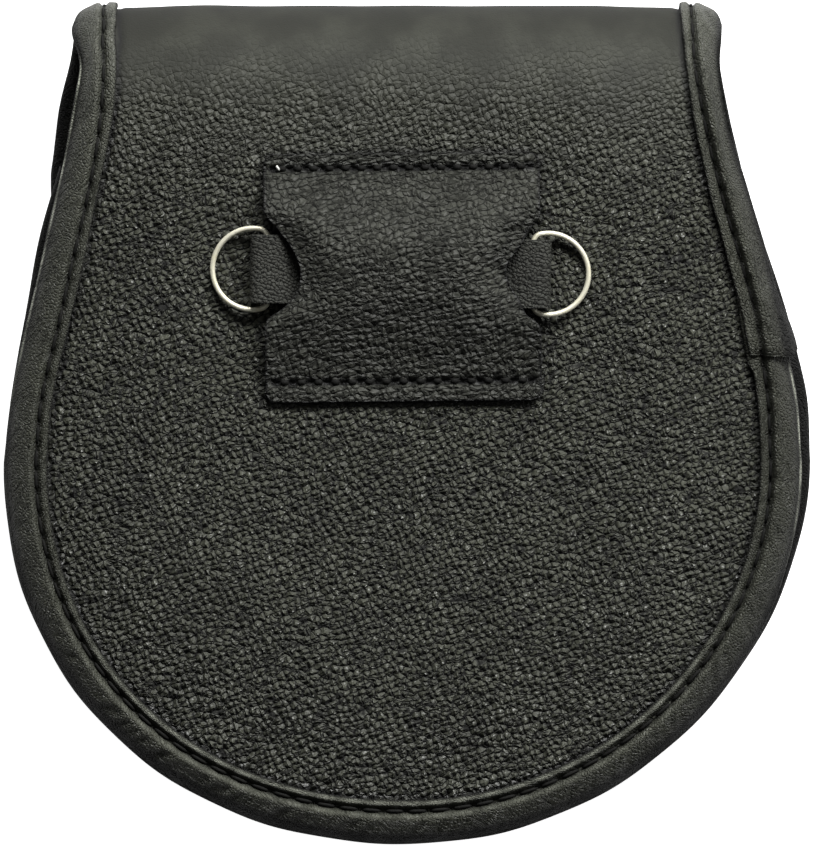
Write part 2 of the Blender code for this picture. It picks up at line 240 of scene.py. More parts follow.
backHigh = pattern["backZ"] + pattern["backCrown"]
foldMiddle = (pattern["backZ"] + pattern["flapZ"]) / 2
foldHalf = (pattern["backZ"] - pattern["flapZ"]) / 2
foldAngles = np.linspace(0, math.pi, 361)
foldLine = np.stack([pattern["foldReach"] * np.sin(foldAngles), foldHalf * np.cos(foldAngles)], 1)
foldLengths = lengthsOf(foldLine)


def edgeWidths(t, left=0.0, right=0.0):
    # half widths of the sheet at t, left and right, moved in by an inset on each side
    p = pattern
    widths = rowsAt(p["edge"], t)
    for column, inset in enumerate((left, right)):
        full = p["backFullness"][column]  # the power of the bottom's rounded outline
        down = np.clip((p["backEnd"] - t) / (p["backLength"] - inset), 0.0, 1.0)
        up = np.clip((t - p["flapEnd"]) / (p["flapLength"] - inset), 0.0, 1.0)
        flapHalf = (p["edge"][-1][1] + p["edge"][-1][2]) / 2
        flapShift = widths[:, column] - flapHalf
        side = (widths[:, column] - inset) * (1 - down**full) ** (1 / full)
        flap = flapShift + (flapHalf - inset) * np.sqrt(1 - up**2)
        widths[:, column] = np.where(t > p["flapEnd"], flap, side)
    return widths


def edgeLine(steps=90):
    # the bound edge from the back's tip up the left side, round the flap and down the right side
    p = pattern
    angles = np.linspace(math.pi / 2, 0, steps)
    sides = []
    for column, sign in ((0, -1), (1, 1)):
        power = 2 / p["backFullness"][column]
        width = p["edge"][0][1 + column]
        cos, sin = np.cos(angles).clip(0), np.sin(angles).clip(0)
        back = np.stack([sign * width * cos**power, p["backEnd"] - p["backLength"] * sin**power], 1)
        t = np.arange(p["backEnd"], p["flapEnd"], 1.5)[1:]
        sideOut = np.stack([sign * rowsAt(p["edge"], t)[:, column], t], 1)
        left, right = p["edge"][-1][1:]
        shift, half = (right - left) / 2, (right + left) / 2
        x = shift + sign * half * np.cos(angles[::-1])
        flap = np.stack([x, p["flapEnd"] + p["flapLength"] * np.sin(angles[::-1])], 1)
        sides.append(np.concatenate([back, sideOut, flap]))
    return np.concatenate([sides[0], sides[1][::-1][1:-1]])


def resample(line, spacing, closed):
    if closed:
        line = np.concatenate([line, line[:1]])
    lengths = lengthsOf(line)
    count = int(round(lengths[-1] / spacing))
    at = np.linspace(0, lengths[-1], count + 1)
    if closed:
        at = at[:-1]
    return np.stack([np.interp(at, lengths, column) for column in line.T], 1)


def outwardOf(line):
    # outward normals of a line that runs clockwise round the sheet
    ahead = np.gradient(line, axis=0)
    normals = np.stack([-ahead[:, 1], ahead[:, 0]], 1)
    return normals / np.linalg.norm(normals, axis=1)[:, None]


edgeLoop = resample(edgeLine(), 2.0, closed=True)


def edgeDistance(x, t):
    # distance of each point from the bound edge, in portions that fit the memory
    portion = 4000
    along = np.roll(edgeLoop, -1, axis=0) - edgeLoop
    squares = (along**2).sum(1)
    flat = np.stack([np.ravel(x), np.ravel(t)], 1)
    found = np.empty(len(flat))
    for start in range(0, len(flat), portion):
        part = flat[start : start + portion, None] - edgeLoop[None]
        share = np.clip((part * along).sum(2) / squares, 0, 1)
        away = part - along * share[..., None]
        found[start : start + portion] = np.sqrt((away**2).sum(2).min(1))
    return found.reshape(np.shape(x))


def crown(distance):
    return eased((distance - pattern["crownStarts"]) / pattern["crownReach"])


def slack(distance):
    # 0 beside the sewn edge, 1 where the sheet is free to sag
    return eased((distance - pattern["sagStarts"]) / pattern["sagReach"])


def foldAngle(t):
    # how far the sheet has turned over: 0 on the back, pi on the flap
    return np.interp(t - pattern["foldStart"], foldLengths, foldAngles)


def nearCrest(angle):
    # 1 in the middle of the fold, fading towards back and flap
    return bell(angle - math.pi / 2, pattern["foldSpread"])


def foldPoint(x, t, h):
    # a point of the flat sheet bent into place, h over its outer face
    p = pattern
    along, angle = t - p["foldStart"], foldAngle(t)
    past = np.maximum(along - foldLengths[-1], 0)
    y = p["foldStart"] + p["foldReach"] * np.sin(angle) + np.minimum(along, 0) - past
    z = foldMiddle + foldHalf * np.cos(angle)
    normalY, normalZ = foldHalf * np.sin(angle), p["foldReach"] * np.cos(angle)
    size = np.hypot(normalY, normalZ)
    share = eased(along / foldLengths[-1])
    height = p["backCrown"] + (p["flapCrown"] - p["backCrown"]) * share
    distance = edgeDistance(x, t)
    onFold = nearCrest(angle)
    full = crown(distance)
    full = full + (1 - full) * p["foldFullness"] * onFold
    # the bound edge is drawn in where it turns over the fold
    corner = np.clip(1 - distance / p["cornerReach"], 0, 1) ** p["cornerShape"]
    drawn = p["cornerDrop"] * onFold * corner
    lift = height * full - drawn + h
    return np.stack([x, y + normalY / size * lift, z + normalZ / size * lift], -1)


def frontPoint(x, y, h):
    # a point of the front panel, h out from its outer face
    heights = rowsAt(pattern["frontHeights"], y)
    share = crown(edgeDistance(x, y))
    z = heights[..., 0] + (heights[..., 1] - heights[..., 0]) * share - h
    return np.stack([x, y, z], -1)


def newGroup(name, inputs, outputs):
    # sockets by label: a vector for Vector, a colour where the label ends in Color, else a number
    group = bpy.data.node_groups.new(name, "ShaderNodeTree")

    def newSocket(label, way):
        kind = "Color" if label.endswith("Color") else "Vector" if label == "Vector" else "Float"
        return group.interface.new_socket(label, in_out=way, socket_type="NodeSocket" + kind)

    for label, value in inputs.items():
        socket = newSocket(label, "INPUT")
        if value is not None:
            socket.default_value = value
    for label in outputs:
        newSocket(label, "OUTPUT")
    return group, group.nodes.new("NodeGroupInput"), group.nodes.new("NodeGroupOutput")


def feed(tree, node, inputs):
    # each input socket gets a value, or a link from an output socket
    for socket, value in inputs.items():
        if isinstance(value, bpy.types.NodeSocket):
            tree.links.new(value, node.inputs[socket])
        else:
            node.inputs[socket].default_value = value


def put(tree, kind, inputs=None, **settings):
    node = tree.nodes.new(kind)
    for setting, value in settings.items():
        setattr(node, setting, value)
    feed(tree, node, inputs or {})
    return node


def calc(tree, operation, a, b=0.0, c=0.0, clamp=False):
    node = put(tree, "ShaderNodeMath", {0: a, 1: b, 2: c}, operation=operation, use_clamp=clamp)
    return node.outputs[0]


def mapRange(tree, value, low, high, toLow=0.0, toHigh=1.0):
    inputs = {"Value": value, "From Min": low, "From Max": high, "To Min": toLow, "To Max": toHigh}
    return put(tree, "ShaderNodeMapRange", inputs, interpolation_type="SMOOTHSTEP").outputs[0]


def mixColour(tree, share, a, b):
    node = put(tree, "ShaderNodeMix", {0: share, 6: a, 7: b}, data_type="RGBA")
    return node.outputs[2]


def vectorMath(tree, operation, a, b=None, scale=None):
    inputs = {0: a}
    if b is not None:
        inputs[1] = b
    if scale is not None:
        inputs[3] = scale
    return put(tree, "ShaderNodeVectorMath", inputs, operation=operation).outputs[0]


def wandered(tree, where, scale, reach):
    # the pattern moved about by a noise, reach in the pattern's own unit
    drift = put(tree, "ShaderNodeTexNoise", {"Vector": where, "Scale": scale, "Detail": 1.0})
    centred = vectorMath(tree, "SUBTRACT", drift.outputs["Color"], (0.5, 0.5, 0.5))
    return vectorMath(tree, "ADD", where, vectorMath(tree, "SCALE", centred, scale=reach))


def turnedBy(tree, where, angle):
    inputs = {"Vector": where, "Angle": angle}
    return put(tree, "ShaderNodeVectorRotate", inputs, rotation_type="Z_AXIS").outputs[0]


def noiseOf(tree, where, scale, detail=0.0, **inputs):
    inputs = {"Vector": where, "Scale": scale, "Detail": detail, **inputs}
    return put(tree, "ShaderNodeTexNoise", inputs).outputs["Fac"]


def speckle(tree, scale, detail):
    # a noise that lies fixed in the object, with its scale per metre
    where = put(tree, "ShaderNodeTexCoord").outputs["Object"]
    return noiseOf(tree, where, scale, detail)


def cellNode(tree, where, scale, feature, measure="EUCLIDEAN", **inputs):
    inputs = {"Vector": where, "Scale": scale, **inputs}
    settings = {"feature": feature, "voronoi_dimensions": "2D", "distance": measure}
    return put(tree, "ShaderNodeTexVoronoi", inputs, **settings).outputs


def diamondEdges(tree, where, scale, randomness):
    # distance to the edges of cells whose sides run slantwise
    near, far = (
        cellNode(tree, where, scale, feature, "MANHATTAN", Randomness=randomness)["Distance"]
        for feature in ("F1", "F2")
    )
    return calc(tree, "MULTIPLY", calc(tree, "SUBTRACT", far, near), 0.6)


def creaseLine(tree, value, low, high, *ends):
    # a line that winds along where a noise crosses its middle value
    away = calc(tree, "ABSOLUTE", calc(tree, "SUBTRACT", value, 0.5))
    return mapRange(tree, away, low, high, *ends)


def bumpOf(tree, height, depth):
    return put(tree, "ShaderNodeBump", {"Height": height, "Distance": depth}).outputs[0]


def makeGrainGroup():
    # pebbled grain: small facets in slanting rows that lean over the cracks below them
    inputs = {
        "Vector": None,
        "Cells per mm": 0.54,
        "Stretch": 1.4,
        "Turn": -0.28,
        "Wander": 3.0,
        "Ragged": 1.3,
        "Lean": 0.55,
        "Creases": 0.9,
    }
    group, enter, leave = newGroup("pebbledGrain", inputs, ["Height", "CrackShade"])
    ragged = enter.outputs["Ragged"]
    inMm = vectorMath(group, "SCALE", enter.outputs["Vector"], scale=1000.0)
    bent = wandered(group, inMm, 0.045, enter.outputs["Wander"])
    stretch = put(group, "ShaderNodeCombineXYZ", {0: 1.0, 1: enter.outputs["Stretch"], 2: 1.0})
    laid = turnedBy(group, bent, enter.outputs["Turn"])
    laid = vectorMath(group, "MULTIPLY", laid, stretch.outputs[0])
    laid = wandered(group, laid, 0.5, ragged)
    laid = wandered(group, laid, 1.5, calc(group, "MULTIPLY", ragged, 0.1))

    size = enter.outputs["Cells per mm"]
    soft = ("SMOOTH_F1", "MANHATTAN")
    cells = cellNode(group, laid, size, *soft, Randomness=0.7, Smoothness=0.25)
    double = calc(group, "MULTIPLY", size, 2.0)
    small = cellNode(group, laid, double, *soft, Randomness=1.0, Smoothness=0.3)["Distance"]
    edges = diamondEdges(group, laid, size, 0.7)
    fromCentre = vectorMath(group, "SUBTRACT", laid, cells["Position"])
    upward = put(group, "ShaderNodeSeparateXYZ", {0: fromCentre}).outputs[1]
    upward = calc(group, "MULTIPLY", upward, size)

    # painted shade in the cracks, darkest along the lower side of each cell, away from the light;
    # hair creases cross them
    crackShade = mapRange(group, edges, 0.05, 0.36, 1.0, 0.0)
    crackShade = calc(group, "MULTIPLY", crackShade, mapRange(group, upward, 0.25, -0.3, 0.2, 1.0))
    plate = mapRange(group, edges, 0.0, 0.15)
    for k, turn in enumerate((0.65, -0.7)):
        slanting = vectorMath(group, "MULTIPLY", turnedBy(group, laid, turn), (0.35, 1.3, 1.0))
        slanting = vectorMath(group, "ADD", slanting, (17.3 * (k + 1), 5.1 * (k + 2), 3.0))
        line = noiseOf(group, slanting, 0.32 + 0.04 * k)
        line = creaseLine(group, line, 0.006, 0.05, 1.0, 0.0)
        patchy = vectorMath(group, "ADD", inMm, (9.0 + k, 4.0, 1.0))
        here = mapRange(group, noiseOf(group, patchy, 0.35), 0.42, 0.58)
        line = calc(group, "MULTIPLY", line, here)
        line = calc(group, "MULTIPLY", line, enter.outputs["Creases"])
        crackShade = calc(group, "MAXIMUM", crackShade, line)
        plate = calc(group, "MULTIPLY", plate, calc(group, "SUBTRACT", 1.0, line))

    height = calc(group, "MULTIPLY", plate, 0.35)
    height = calc(group, "MULTIPLY_ADD", cells["Distance"], -1.25, height)
    height = calc(group, "MULTIPLY_ADD", small, -0.4, height)
    lean = calc(group, "MULTIPLY", enter.outputs["Lean"], -1.0)
    height = calc(group, "MULTIPLY_ADD", upward, lean, height)
    height = calc(group, "MULTIPLY_ADD", noiseOf(group, laid, 1.2, 1.0), 0.22, height)
    feed(group, leave, {"Height": height, "CrackShade": crackShade})
    return group


def makeFineGroup():
    # pores and slanting hair creases of smooth leather
    inputs = {"Vector": None, "Pores per mm": 1.25, "Creases": 0.5, "Turn": 0.6}
    group, enter, leave = newGroup("fineGrain", inputs, ["Height", "Mottle"])
    inMm = vectorMath(group, "SCALE", enter.outputs["Vector"], scale=1000.0)
    ragged = wandered(group, inMm, 0.8, 0.8)
    pores = cellNode(group, ragged, enter.outputs["Pores per mm"], "DISTANCE_TO_EDGE")["Distance"]
    pores = calc(group, "MULTIPLY_ADD", mapRange(group, pores, 0.0, 0.3), 0.3, 0.7)
    turned = turnedBy(group, inMm, enter.outputs["Turn"])
    skewed = vectorMath(group, "MULTIPLY", turned, (0.16, 0.75, 0.5))
    line = creaseLine(group, noiseOf(group, skewed, 0.8, 3.0, Distortion=0.5), 0.0, 0.05)
    here = mapRange(group, noiseOf(group, inMm, 0.12, 1.0), 0.4, 0.6)
    share = calc(group, "MULTIPLY", here, enter.outputs["Creases"])
    # the creases cut into the height, by their share
    cut = calc(group, "MULTIPLY_ADD", calc(group, "SUBTRACT", line, 1.0), share, 1.0)
    height = calc(group, "MULTIPLY", pores, cut)
    mottle = mapRange(group, noiseOf(group, inMm, 0.09, 5.0), 0.3, 0.7)
    feed(group, leave, {"Height": height, "Mottle": mottle})
    return group


def makeWearAndLightGroup():
    # painted shade in the creases, and lighter edges that are partly wear and partly painted
    # highlight, from the masks kept with the mesh
    colours = {"Color": (0.1, 0.1, 0.1, 1.0), "WearAndHighlight Color": (0.3, 0.3, 0.3, 1.0)}
    inputs = {**colours, "PaintedShade": 0.0, "WearAndHighlight": 0.0, "Mottle": 0.5}
    group, enter, leave = newGroup("wearAndPaintedLight", inputs, ["Color"])
    light = mapRange(group, enter.outputs["Mottle"], 0.0, 1.0, 0.85, 1.15)
    lit = {"Color": enter.outputs["Color"], "Value": light}
    base = put(group, "ShaderNodeHueSaturation", lit).outputs[0]
    worn = mixColour(group, enter.outputs["WearAndHighlight"], base, enter.outputs["WearAndHighlight Color"])
    # painted shade: the colour goes towards near-black by the mask
    inShade = mixColour(group, enter.outputs["PaintedShade"], worn, (0.0015, 0.0015, 0.0013, 1.0))
    feed(group, leave, {"Color": inShade})
    return group


grainGroup = makeGrainGroup()
fineGroup = makeFineGroup()
wearAndLightGroup = makeWearAndLightGroup()


def startMaterial(name):
    material = bpy.data.materials.new(name)
    material.use_nodes = True
    tree = material.node_tree
    return material, tree, tree.nodes["Principled BSDF"]


def kept(tree, name, output="Fac"):
    return put(tree, "ShaderNodeAttribute", attribute_name=name).outputs[output]


def placeGroup(tree, group, inputs):
    return put(tree, "ShaderNodeGroup", inputs, node_tree=group).outputs


def shaded(colour, shade):
    return [channel * shade for channel in colour[:3]] + [1.0]


def wearAndLightColour(tree, colour, worn, mottle):
    # the colour with the painted shade, and the wear and painted highlight, that are kept with the
    # mesh
    inputs = {"Color": colour, "WearAndHighlight Color": worn, "Mottle": mottle}
    masks = {"PaintedShade": kept(tree, "paintedShade"), "WearAndHighlight": kept(tree, "worn")}
    return placeGroup(tree, wearAndLightGroup, {**inputs, **masks})["Color"]


grainedLook = {
    "top": (0.0660, 0.0688, 0.0520, 1.0),
    # painted shade: the near-black colour in the cracks
    "crackShade": (0.0005, 0.0005, 0.0004, 1.0),
    "smooth": (0.0124, 0.0132, 0.0076, 1.0),
    "crest": (0.0066, 0.0070, 0.0036, 1.0),  # painted shade on top of the fold, darker where the light is strongest
    "worn": (0.1800, 0.1800, 0.1650, 1.0),
    "roughness": (0.36, 0.95),  # on the cells, in the cracks
    "dull": 0.5,  # added to it where the grain is stretched smooth
    "depth": 1.25 * mm,
    "pores": 0.05,  # share of the fine grain in the relief
    "fade": (40.0 * mm, 97.0 * mm),  # stretched smooth over the fold
    "fadeRagged": -6.0 * mm,
    "crestShadeFrom": (87.0 * mm, 101.0 * mm),
    "returns": (112.0 * mm, 128.0 * mm),
    "fading": 1.7,
    "specular": 0.5,
}


def makeGrained(
    name, cells, stretch, turn, fades=False, depth=1.0, shade=1.0, dull=0.0, crackShadeShare=1.0, **settings
):
    look = grainedLook
    material, tree, shader = startMaterial(name)
    where = kept(tree, "pattern", "Vector")
    inputs = {"Vector": where, "Cells per mm": cells, "Stretch": stretch, "Turn": turn}
    grain = placeGroup(tree, grainGroup, {**inputs, **settings})
    fine = placeGroup(tree, fineGroup, {"Vector": where, "Creases": 0.0})
    inCrackShade, height = grain["CrackShade"], grain["Height"]
    top = shaded(look["top"], shade)
    if fades:
        along = put(tree, "ShaderNodeSeparateXYZ", {0: where}).outputs[1]
        ragged = calc(tree, "MULTIPLY_ADD", fine["Mottle"], look["fadeRagged"], along)
        onBack = mapRange(tree, ragged, *look["fade"], 1.0, 0.0)
        onFlap = mapRange(tree, along, *look["returns"])
        here = calc(tree, "ADD", onBack, onFlap, clamp=True)
        # painted shade over the fold's crest, where the light is strongest
        onCrestShade = mapRange(tree, along, *look["crestShadeFrom"])
        smooth = mixColour(tree, onCrestShade, look["smooth"], look["crest"])
        top = mixColour(tree, here, smooth, top)
        share = calc(tree, "POWER", here, look["fading"])
        height = calc(tree, "MULTIPLY", height, share)
        inCrackShade = calc(tree, "MULTIPLY", inCrackShade, share)
        dull = calc(tree, "MULTIPLY_ADD", here, -look["dull"], look["dull"])
    # painted shade in the cracks, by their share
    colour = mixColour(tree, calc(tree, "MULTIPLY", inCrackShade, crackShadeShare), top, look["crackShade"])
    rough = mapRange(tree, inCrackShade, 0.0, 1.0, *look["roughness"])
    relief = calc(tree, "MULTIPLY_ADD", fine["Height"], look["pores"], height)
    surface = {
        "Base Color": wearAndLightColour(tree, colour, look["worn"], fine["Mottle"]),
        "Roughness": calc(tree, "ADD", rough, dull),
        "Specular IOR Level": look["specular"],
        "Normal": bumpOf(tree, relief, look["depth"] * depth),
    }
    feed(tree, shader, surface)
    return material


smoothLook = {
    "colour": (0.0350, 0.0364, 0.0272, 1.0),
    # a pale colour for the worn marks and the painted highlights and sheen
    "worn": (0.4200, 0.4330, 0.3600, 1.0),
    "depth": 0.8 * mm,
    "roughness": (0.53, 0.39),  # where the mottling is dark and where it is light
    # rougher where the painted shade lies
    "shadeRough": 0.3,
    "specular": 0.3,
}


def makeSmooth(name, creases, turn=0.6, shade=1.0):
    look = smoothLook
    material, tree, shader = startMaterial(name)
    where = kept(tree, "pattern", "Vector")
    fine = placeGroup(tree, fineGroup, {"Vector": where, "Creases": creases, "Turn": turn})
    base = shaded(look["colour"], shade)
    rough = mapRange(tree, fine["Mottle"], 0.0, 1.0, *look["roughness"])
    surface = {
        "Base Color": wearAndLightColour(tree, base, look["worn"], fine["Mottle"]),
        "Roughness": calc(tree, "MULTIPLY_ADD", kept(tree, "paintedShade"), look["shadeRough"], rough),
        "Specular IOR Level": look["specular"],
        "Normal": bumpOf(tree, fine["Height"], look["depth"]),
    }
    feed(tree, shader, surface)
    return material


def makeThread(name, dark, light):
    material, tree, shader = startMaterial(name)
    fibres = speckle(tree, 2600.0, 2.0)
    surface = {
        "Base Color": mixColour(tree, fibres, dark, light),
        "Roughness": 0.75,
        "Specular IOR Level": 0.2,
        "Normal": bumpOf(tree, fibres, 0.1 * mm),
    }
    feed(tree, shader, surface)
    return material


def makeMetal(name, bright, dull, roughness, metallic):
    material, tree, shader = startMaterial(name)
    worn = mapRange(tree, speckle(tree, 420.0, 4.0), 0.42, 0.7)
    surface = {
        "Base Color": mixColour(tree, worn, bright, dull),
        "Roughness": mapRange(tree, worn, 0.0, 1.0, roughness, roughness + 0.18),
        "Metallic": metallic,
    }
    feed(tree, shader, surface)
    return material


backLeather = makeGrained("grainedLeather", 0.58, 1.2, -0.42, fades=True)
frontLeather = makeGrained("grainedLeatherFront", 0.58, 1.2, 0.3)
coarse = {"Ragged": 2.0, "Wander": 5.0, "Lean": 0.4}
patchLeather = makeGrained(
    "grainedLeatherPatch", 0.54, 1.35, -0.25, depth=0.5, shade=0.52, dull=0.25, crackShadeShare=0.6, **coarse
)
strapLeather = makeGrained(
    "strapLeather", 1.1, 1.1, 0.3, depth=0.18, shade=0.4, dull=0.35, Creases=0.3
)
bindingLeather = makeSmooth("bindingLeather", 0.85)
# the gusset is a darker copy of the binding leather: painted shade on its side walls
gussetShadedLeather = makeSmooth("gussetShadedLeather", 0.8, turn=1.3, shade=0.55)
threadMaterial = makeThread("blackThread", (0.002, 0.002, 0.0018, 1.0), (0.01, 0.01, 0.0085, 1.0))
looseMaterial = makeThread("whiteThread", (0.6, 0.59, 0.55, 1.0), (0.9, 0.9, 0.86, 1.0))
ringMetal = makeMetal("ringMetal", (0.97, 0.94, 0.76, 1.0), (0.84, 0.8, 0.6, 1.0), 0.36, 0.35)
snapMetal = makeMetal("snapMetal", (0.62, 0.62, 0.6, 1.0), (0.4, 0.4, 0.38, 1.0), 0.35, 1.0)
print("materials ready")


def thicken(piece, leather, offset, rim=0.0):
    # gives a flat piece its thickness and rounded rim, and keeps its points as the pattern
    modify(piece, "SOLIDIFY", thickness=leather, offset=offset)
    if rim:
        modify(piece, "BEVEL", width=rim, segments=2, limit_method="ANGLE", angle_limit=1.0)
    flat = readPoints(piece)
    keepPattern(piece, flat * mm)
    return flat


def cutSheet(name, low, high, spacing, widthsAt, rim=0.0):
    # a grid cut to the pattern, still flat, with the thickness of the leather
    rows = int((high - low) / spacing)
    widest = float(sum(widthsAt(np.linspace(low, high, 40)).max(0)))
    piece, flat = addGrid(name, int(widest / spacing), rows)
    t = low + (flat[:, 1] + 0.5) * (high - low)
    widths = widthsAt(t)
    x = -widths[:, 0] + (flat[:, 0] + 0.5) * widths.sum(1)
    writePoints(piece, np.stack([x, t, np.zeros(len(x))], 1))
    return piece, thicken(piece, pattern["leather"], -1.0, rim)


backCut = {
    "inset": 1.6,
    "endInset": 1.7,
    "spacing": 1.12,
    "sag": 0.22,
    "flapFrom": 106.0,  # from here on the sag only lifts the leather off the floor
    "flapReach": 20.0,
    "pull": 0.4,
    "pullAt": (0.35, 0.75),  # middle and reach beside the binding's lip
    "patchShadow": 0.7,  # painted shadow round the patch, and its reach
    "patchShadowReach": 0.9,
}


def makeBackAndFlap():
    p, cut = pattern, backCut
    piece, flat = cutSheet(
        "back_and_flap_leather",
        p["backEnd"] - p["backLength"] + cut["endInset"],
        p["flapEnd"] + p["flapLength"] - cut["endInset"],
        cut["spacing"],
        lambda t: edgeWidths(t, cut["inset"], cut["inset"]),
    )
    x, t, h = flat.T
    distance = edgeDistance(x, t)
    bumps = waves(flat[:, :2] * 0.7, 3.0)
    onFlap = eased((t - cut["flapFrom"]) / cut["flapReach"])
    dents = cut["sag"] * (bumps - onFlap * bumps.max()) * slack(distance)
    # the stitches draw the leather down beside the binding, and painted shade darkens that crease
    lip = seamInsets(flat)[1]
    beside = bell(distance - lip - cut["pullAt"][0], cut["pullAt"][1])
    # painted shadow on the back round the patch's outline
    shadowRoundPatch = cut["patchShadow"] * bell(np.maximum(outsidePatch(x, t), 0), cut["patchShadowReach"])
    keepMask(piece, "paintedShade", np.maximum(beside, shadowRoundPatch))
    writePoints(piece, toFrame(foldPoint(x, t, h + dents - cut["pull"] * beside)))
    finishPiece(piece, backLeather, replaces=["back_and_flap"])


frontCut = {"inset": 1.2, "endOut": 0.2, "spacing": 1.6, "sag": 0.3}


def makeFrontPanel():
    p, cut = pattern, frontCut

    def widthsAt(t):
        spread = rowsAt(p["frontSpread"], t)
        return edgeWidths(t, cut["inset"] - spread[:, 0], cut["inset"] - spread[:, 1])

    low = p["backEnd"] - p["backLength"] - cut["endOut"]
    piece, flat = cutSheet("front_panel_leather", low, p["mouth"], cut["spacing"], widthsAt)
    x, y, h = flat.T
    dents = cut["sag"] * waves(flat[:, :2] * 0.8, 11.0) * slack(edgeDistance(x, y))
    writePoints(piece, toFrame(frontPoint(x, y, h + dents)))
    finishPiece(piece, frontLeather, replaces=["front_panel"])


def around(count, steps):
    # weights of a smooth closed curve through a section's points
    weights = np.zeros((count * steps, count))
    for k in range(count):
        for step in range(steps):
            u = step / steps
            parts = (
                -0.5 * u + u * u - 0.5 * u**3,
                1 - 2.5 * u * u + 1.5 * u**3,
                0.5 * u + 2 * u * u - 1.5 * u**3,
                -0.5 * u * u + 0.5 * u**3,
            )
            for offset, part in zip((-1, 0, 1, 2), parts):
                weights[k * steps + step, (k + offset) % count] += part
    return weights


def tubeMesh(name, rings, lengths, girth):
    # a grid rolled into a tube: rings is stations x points x 3, lengths and girth lay it out flat
    stations, points = rings.shape[:2]
    piece, flat = addGrid(name, points, stations - 1)
    column = np.rint((flat[:, 0] + 0.5) * points).astype(int) % points
    row = np.rint((flat[:, 1] + 0.5) * (stations - 1)).astype(int)
    writePoints(piece, rings[row, column])
    keepPattern(piece, np.stack([lengths[row], girth[column], row * 0], 1) * mm)
    return piece, row, column


def closeTube(piece):
    # joins the seam along the tube and caps both of its ends
    only(piece)
    bpy.ops.object.mode_set(mode="EDIT")
    bpy.ops.mesh.select_all(action="SELECT")
    bpy.ops.mesh.remove_doubles(threshold=1e-7)
    bpy.ops.mesh.select_all(action="DESELECT")
    bpy.ops.mesh.select_mode(type="EDGE")
    bpy.ops.mesh.select_non_manifold(extend=False, use_boundary=True)
    bpy.ops.mesh.edge_face_add()
    bpy.ops.object.mode_set(mode="OBJECT")


binding = {
    "seams": (  # t, groove and width at left, groove and width at right
        (-96.0, 7.5, 9.9, 7.5, 9.9),
        (-30.0, 7.2, 9.7, 7.1, 9.5),
        (0.0, 7.1, 9.6, 7.0, 9.3),
        (13.0, 7.0, 9.4, 6.3, 8.8),
        (26.0, 7.3, 9.7, 5.8, 8.8),
        (38.0, 7.1, 9.7, 6.2, 9.0),
        (53.0, 7.2, 9.3, 6.3, 8.9),
        (65.0, 6.9, 9.35, 5.5, 7.9),
        (75.0, 6.2, 9.1, 5.7, 7.9),
        (84.0, 5.6, 8.5, 6.0, 8.0),
        (91.0, 7.3, 10.2, 6.6, 8.9),
        (96.0, 7.1, 10.1, 7.0, 9.5),
        (108.0, 6.9, 9.7, 7.1, 9.6),
        (230.0, 7.2, 9.7, 7.2, 9.7),
    ),
    "plump": 2.1,
    "skin": 0.9,
    "spacing": 0.92,
    "stitchPitch": 5.6,
    "holeDepth": 0.36,
    "betweenHoles": 0.08,
    "puckerReach": 1.1,
    "pucker": 0.07,  # sideways
    "rollAt": (4.2, 2.4),  # middle and reach of the roll, where the wrinkles lie
    "wrinkle": (0.1, 0.24),  # height at the sides, and what the bottom adds to it
    "lapT": 16.9,
    "lapFades": 18.0,
    "lapOut": 2.3,
    "lapUp": 0.8,
    "doubled": 26.0,  # how far the strip's start runs on under its end
    "doubledUp": 0.15,
    "startDown": 0.25,
    "peek": 0.8,
    "endFades": 7.0,
    "edgeShade": 0.4,  # painted shade, darker towards the outer edge
    "edgeDark": 0.55,  # and painted shade, darkest just inside it
    # painted highlight along the outer edge, and where it lies
    "highlightAt": 0.3,
    # the tops of ridge and lip: partly rubbed wear, partly painted highlight
    "ridgeWearAndHighlight": 0.21,
    "lipWearAndHighlight": 0.1,
    "lowLipWearAndHighlight": 0.45,
    "sheen": 0.065,  # painted sheen, paler towards the fold
    # painted shade on the flap's binding
    "flapShade": 0.65,
    "slant": -0.25,
    "stitchUp": 0.72,
}


def seamInsets(line):
    # insets of the groove and of the lip's inner edge at each station
    table = rowsAt(binding["seams"], line[:, 1])
    left = line[:, 0] < 0
    return np.where(left, table[:, 0], table[:, 2]), np.where(left, table[:, 1], table[:, 3])


def lowShare(line):
    # 0 at the sides, 1 along the bottom, where the binding is fuller and more wrinkled
    return eased((-30 - line[:, 1]) / 50)


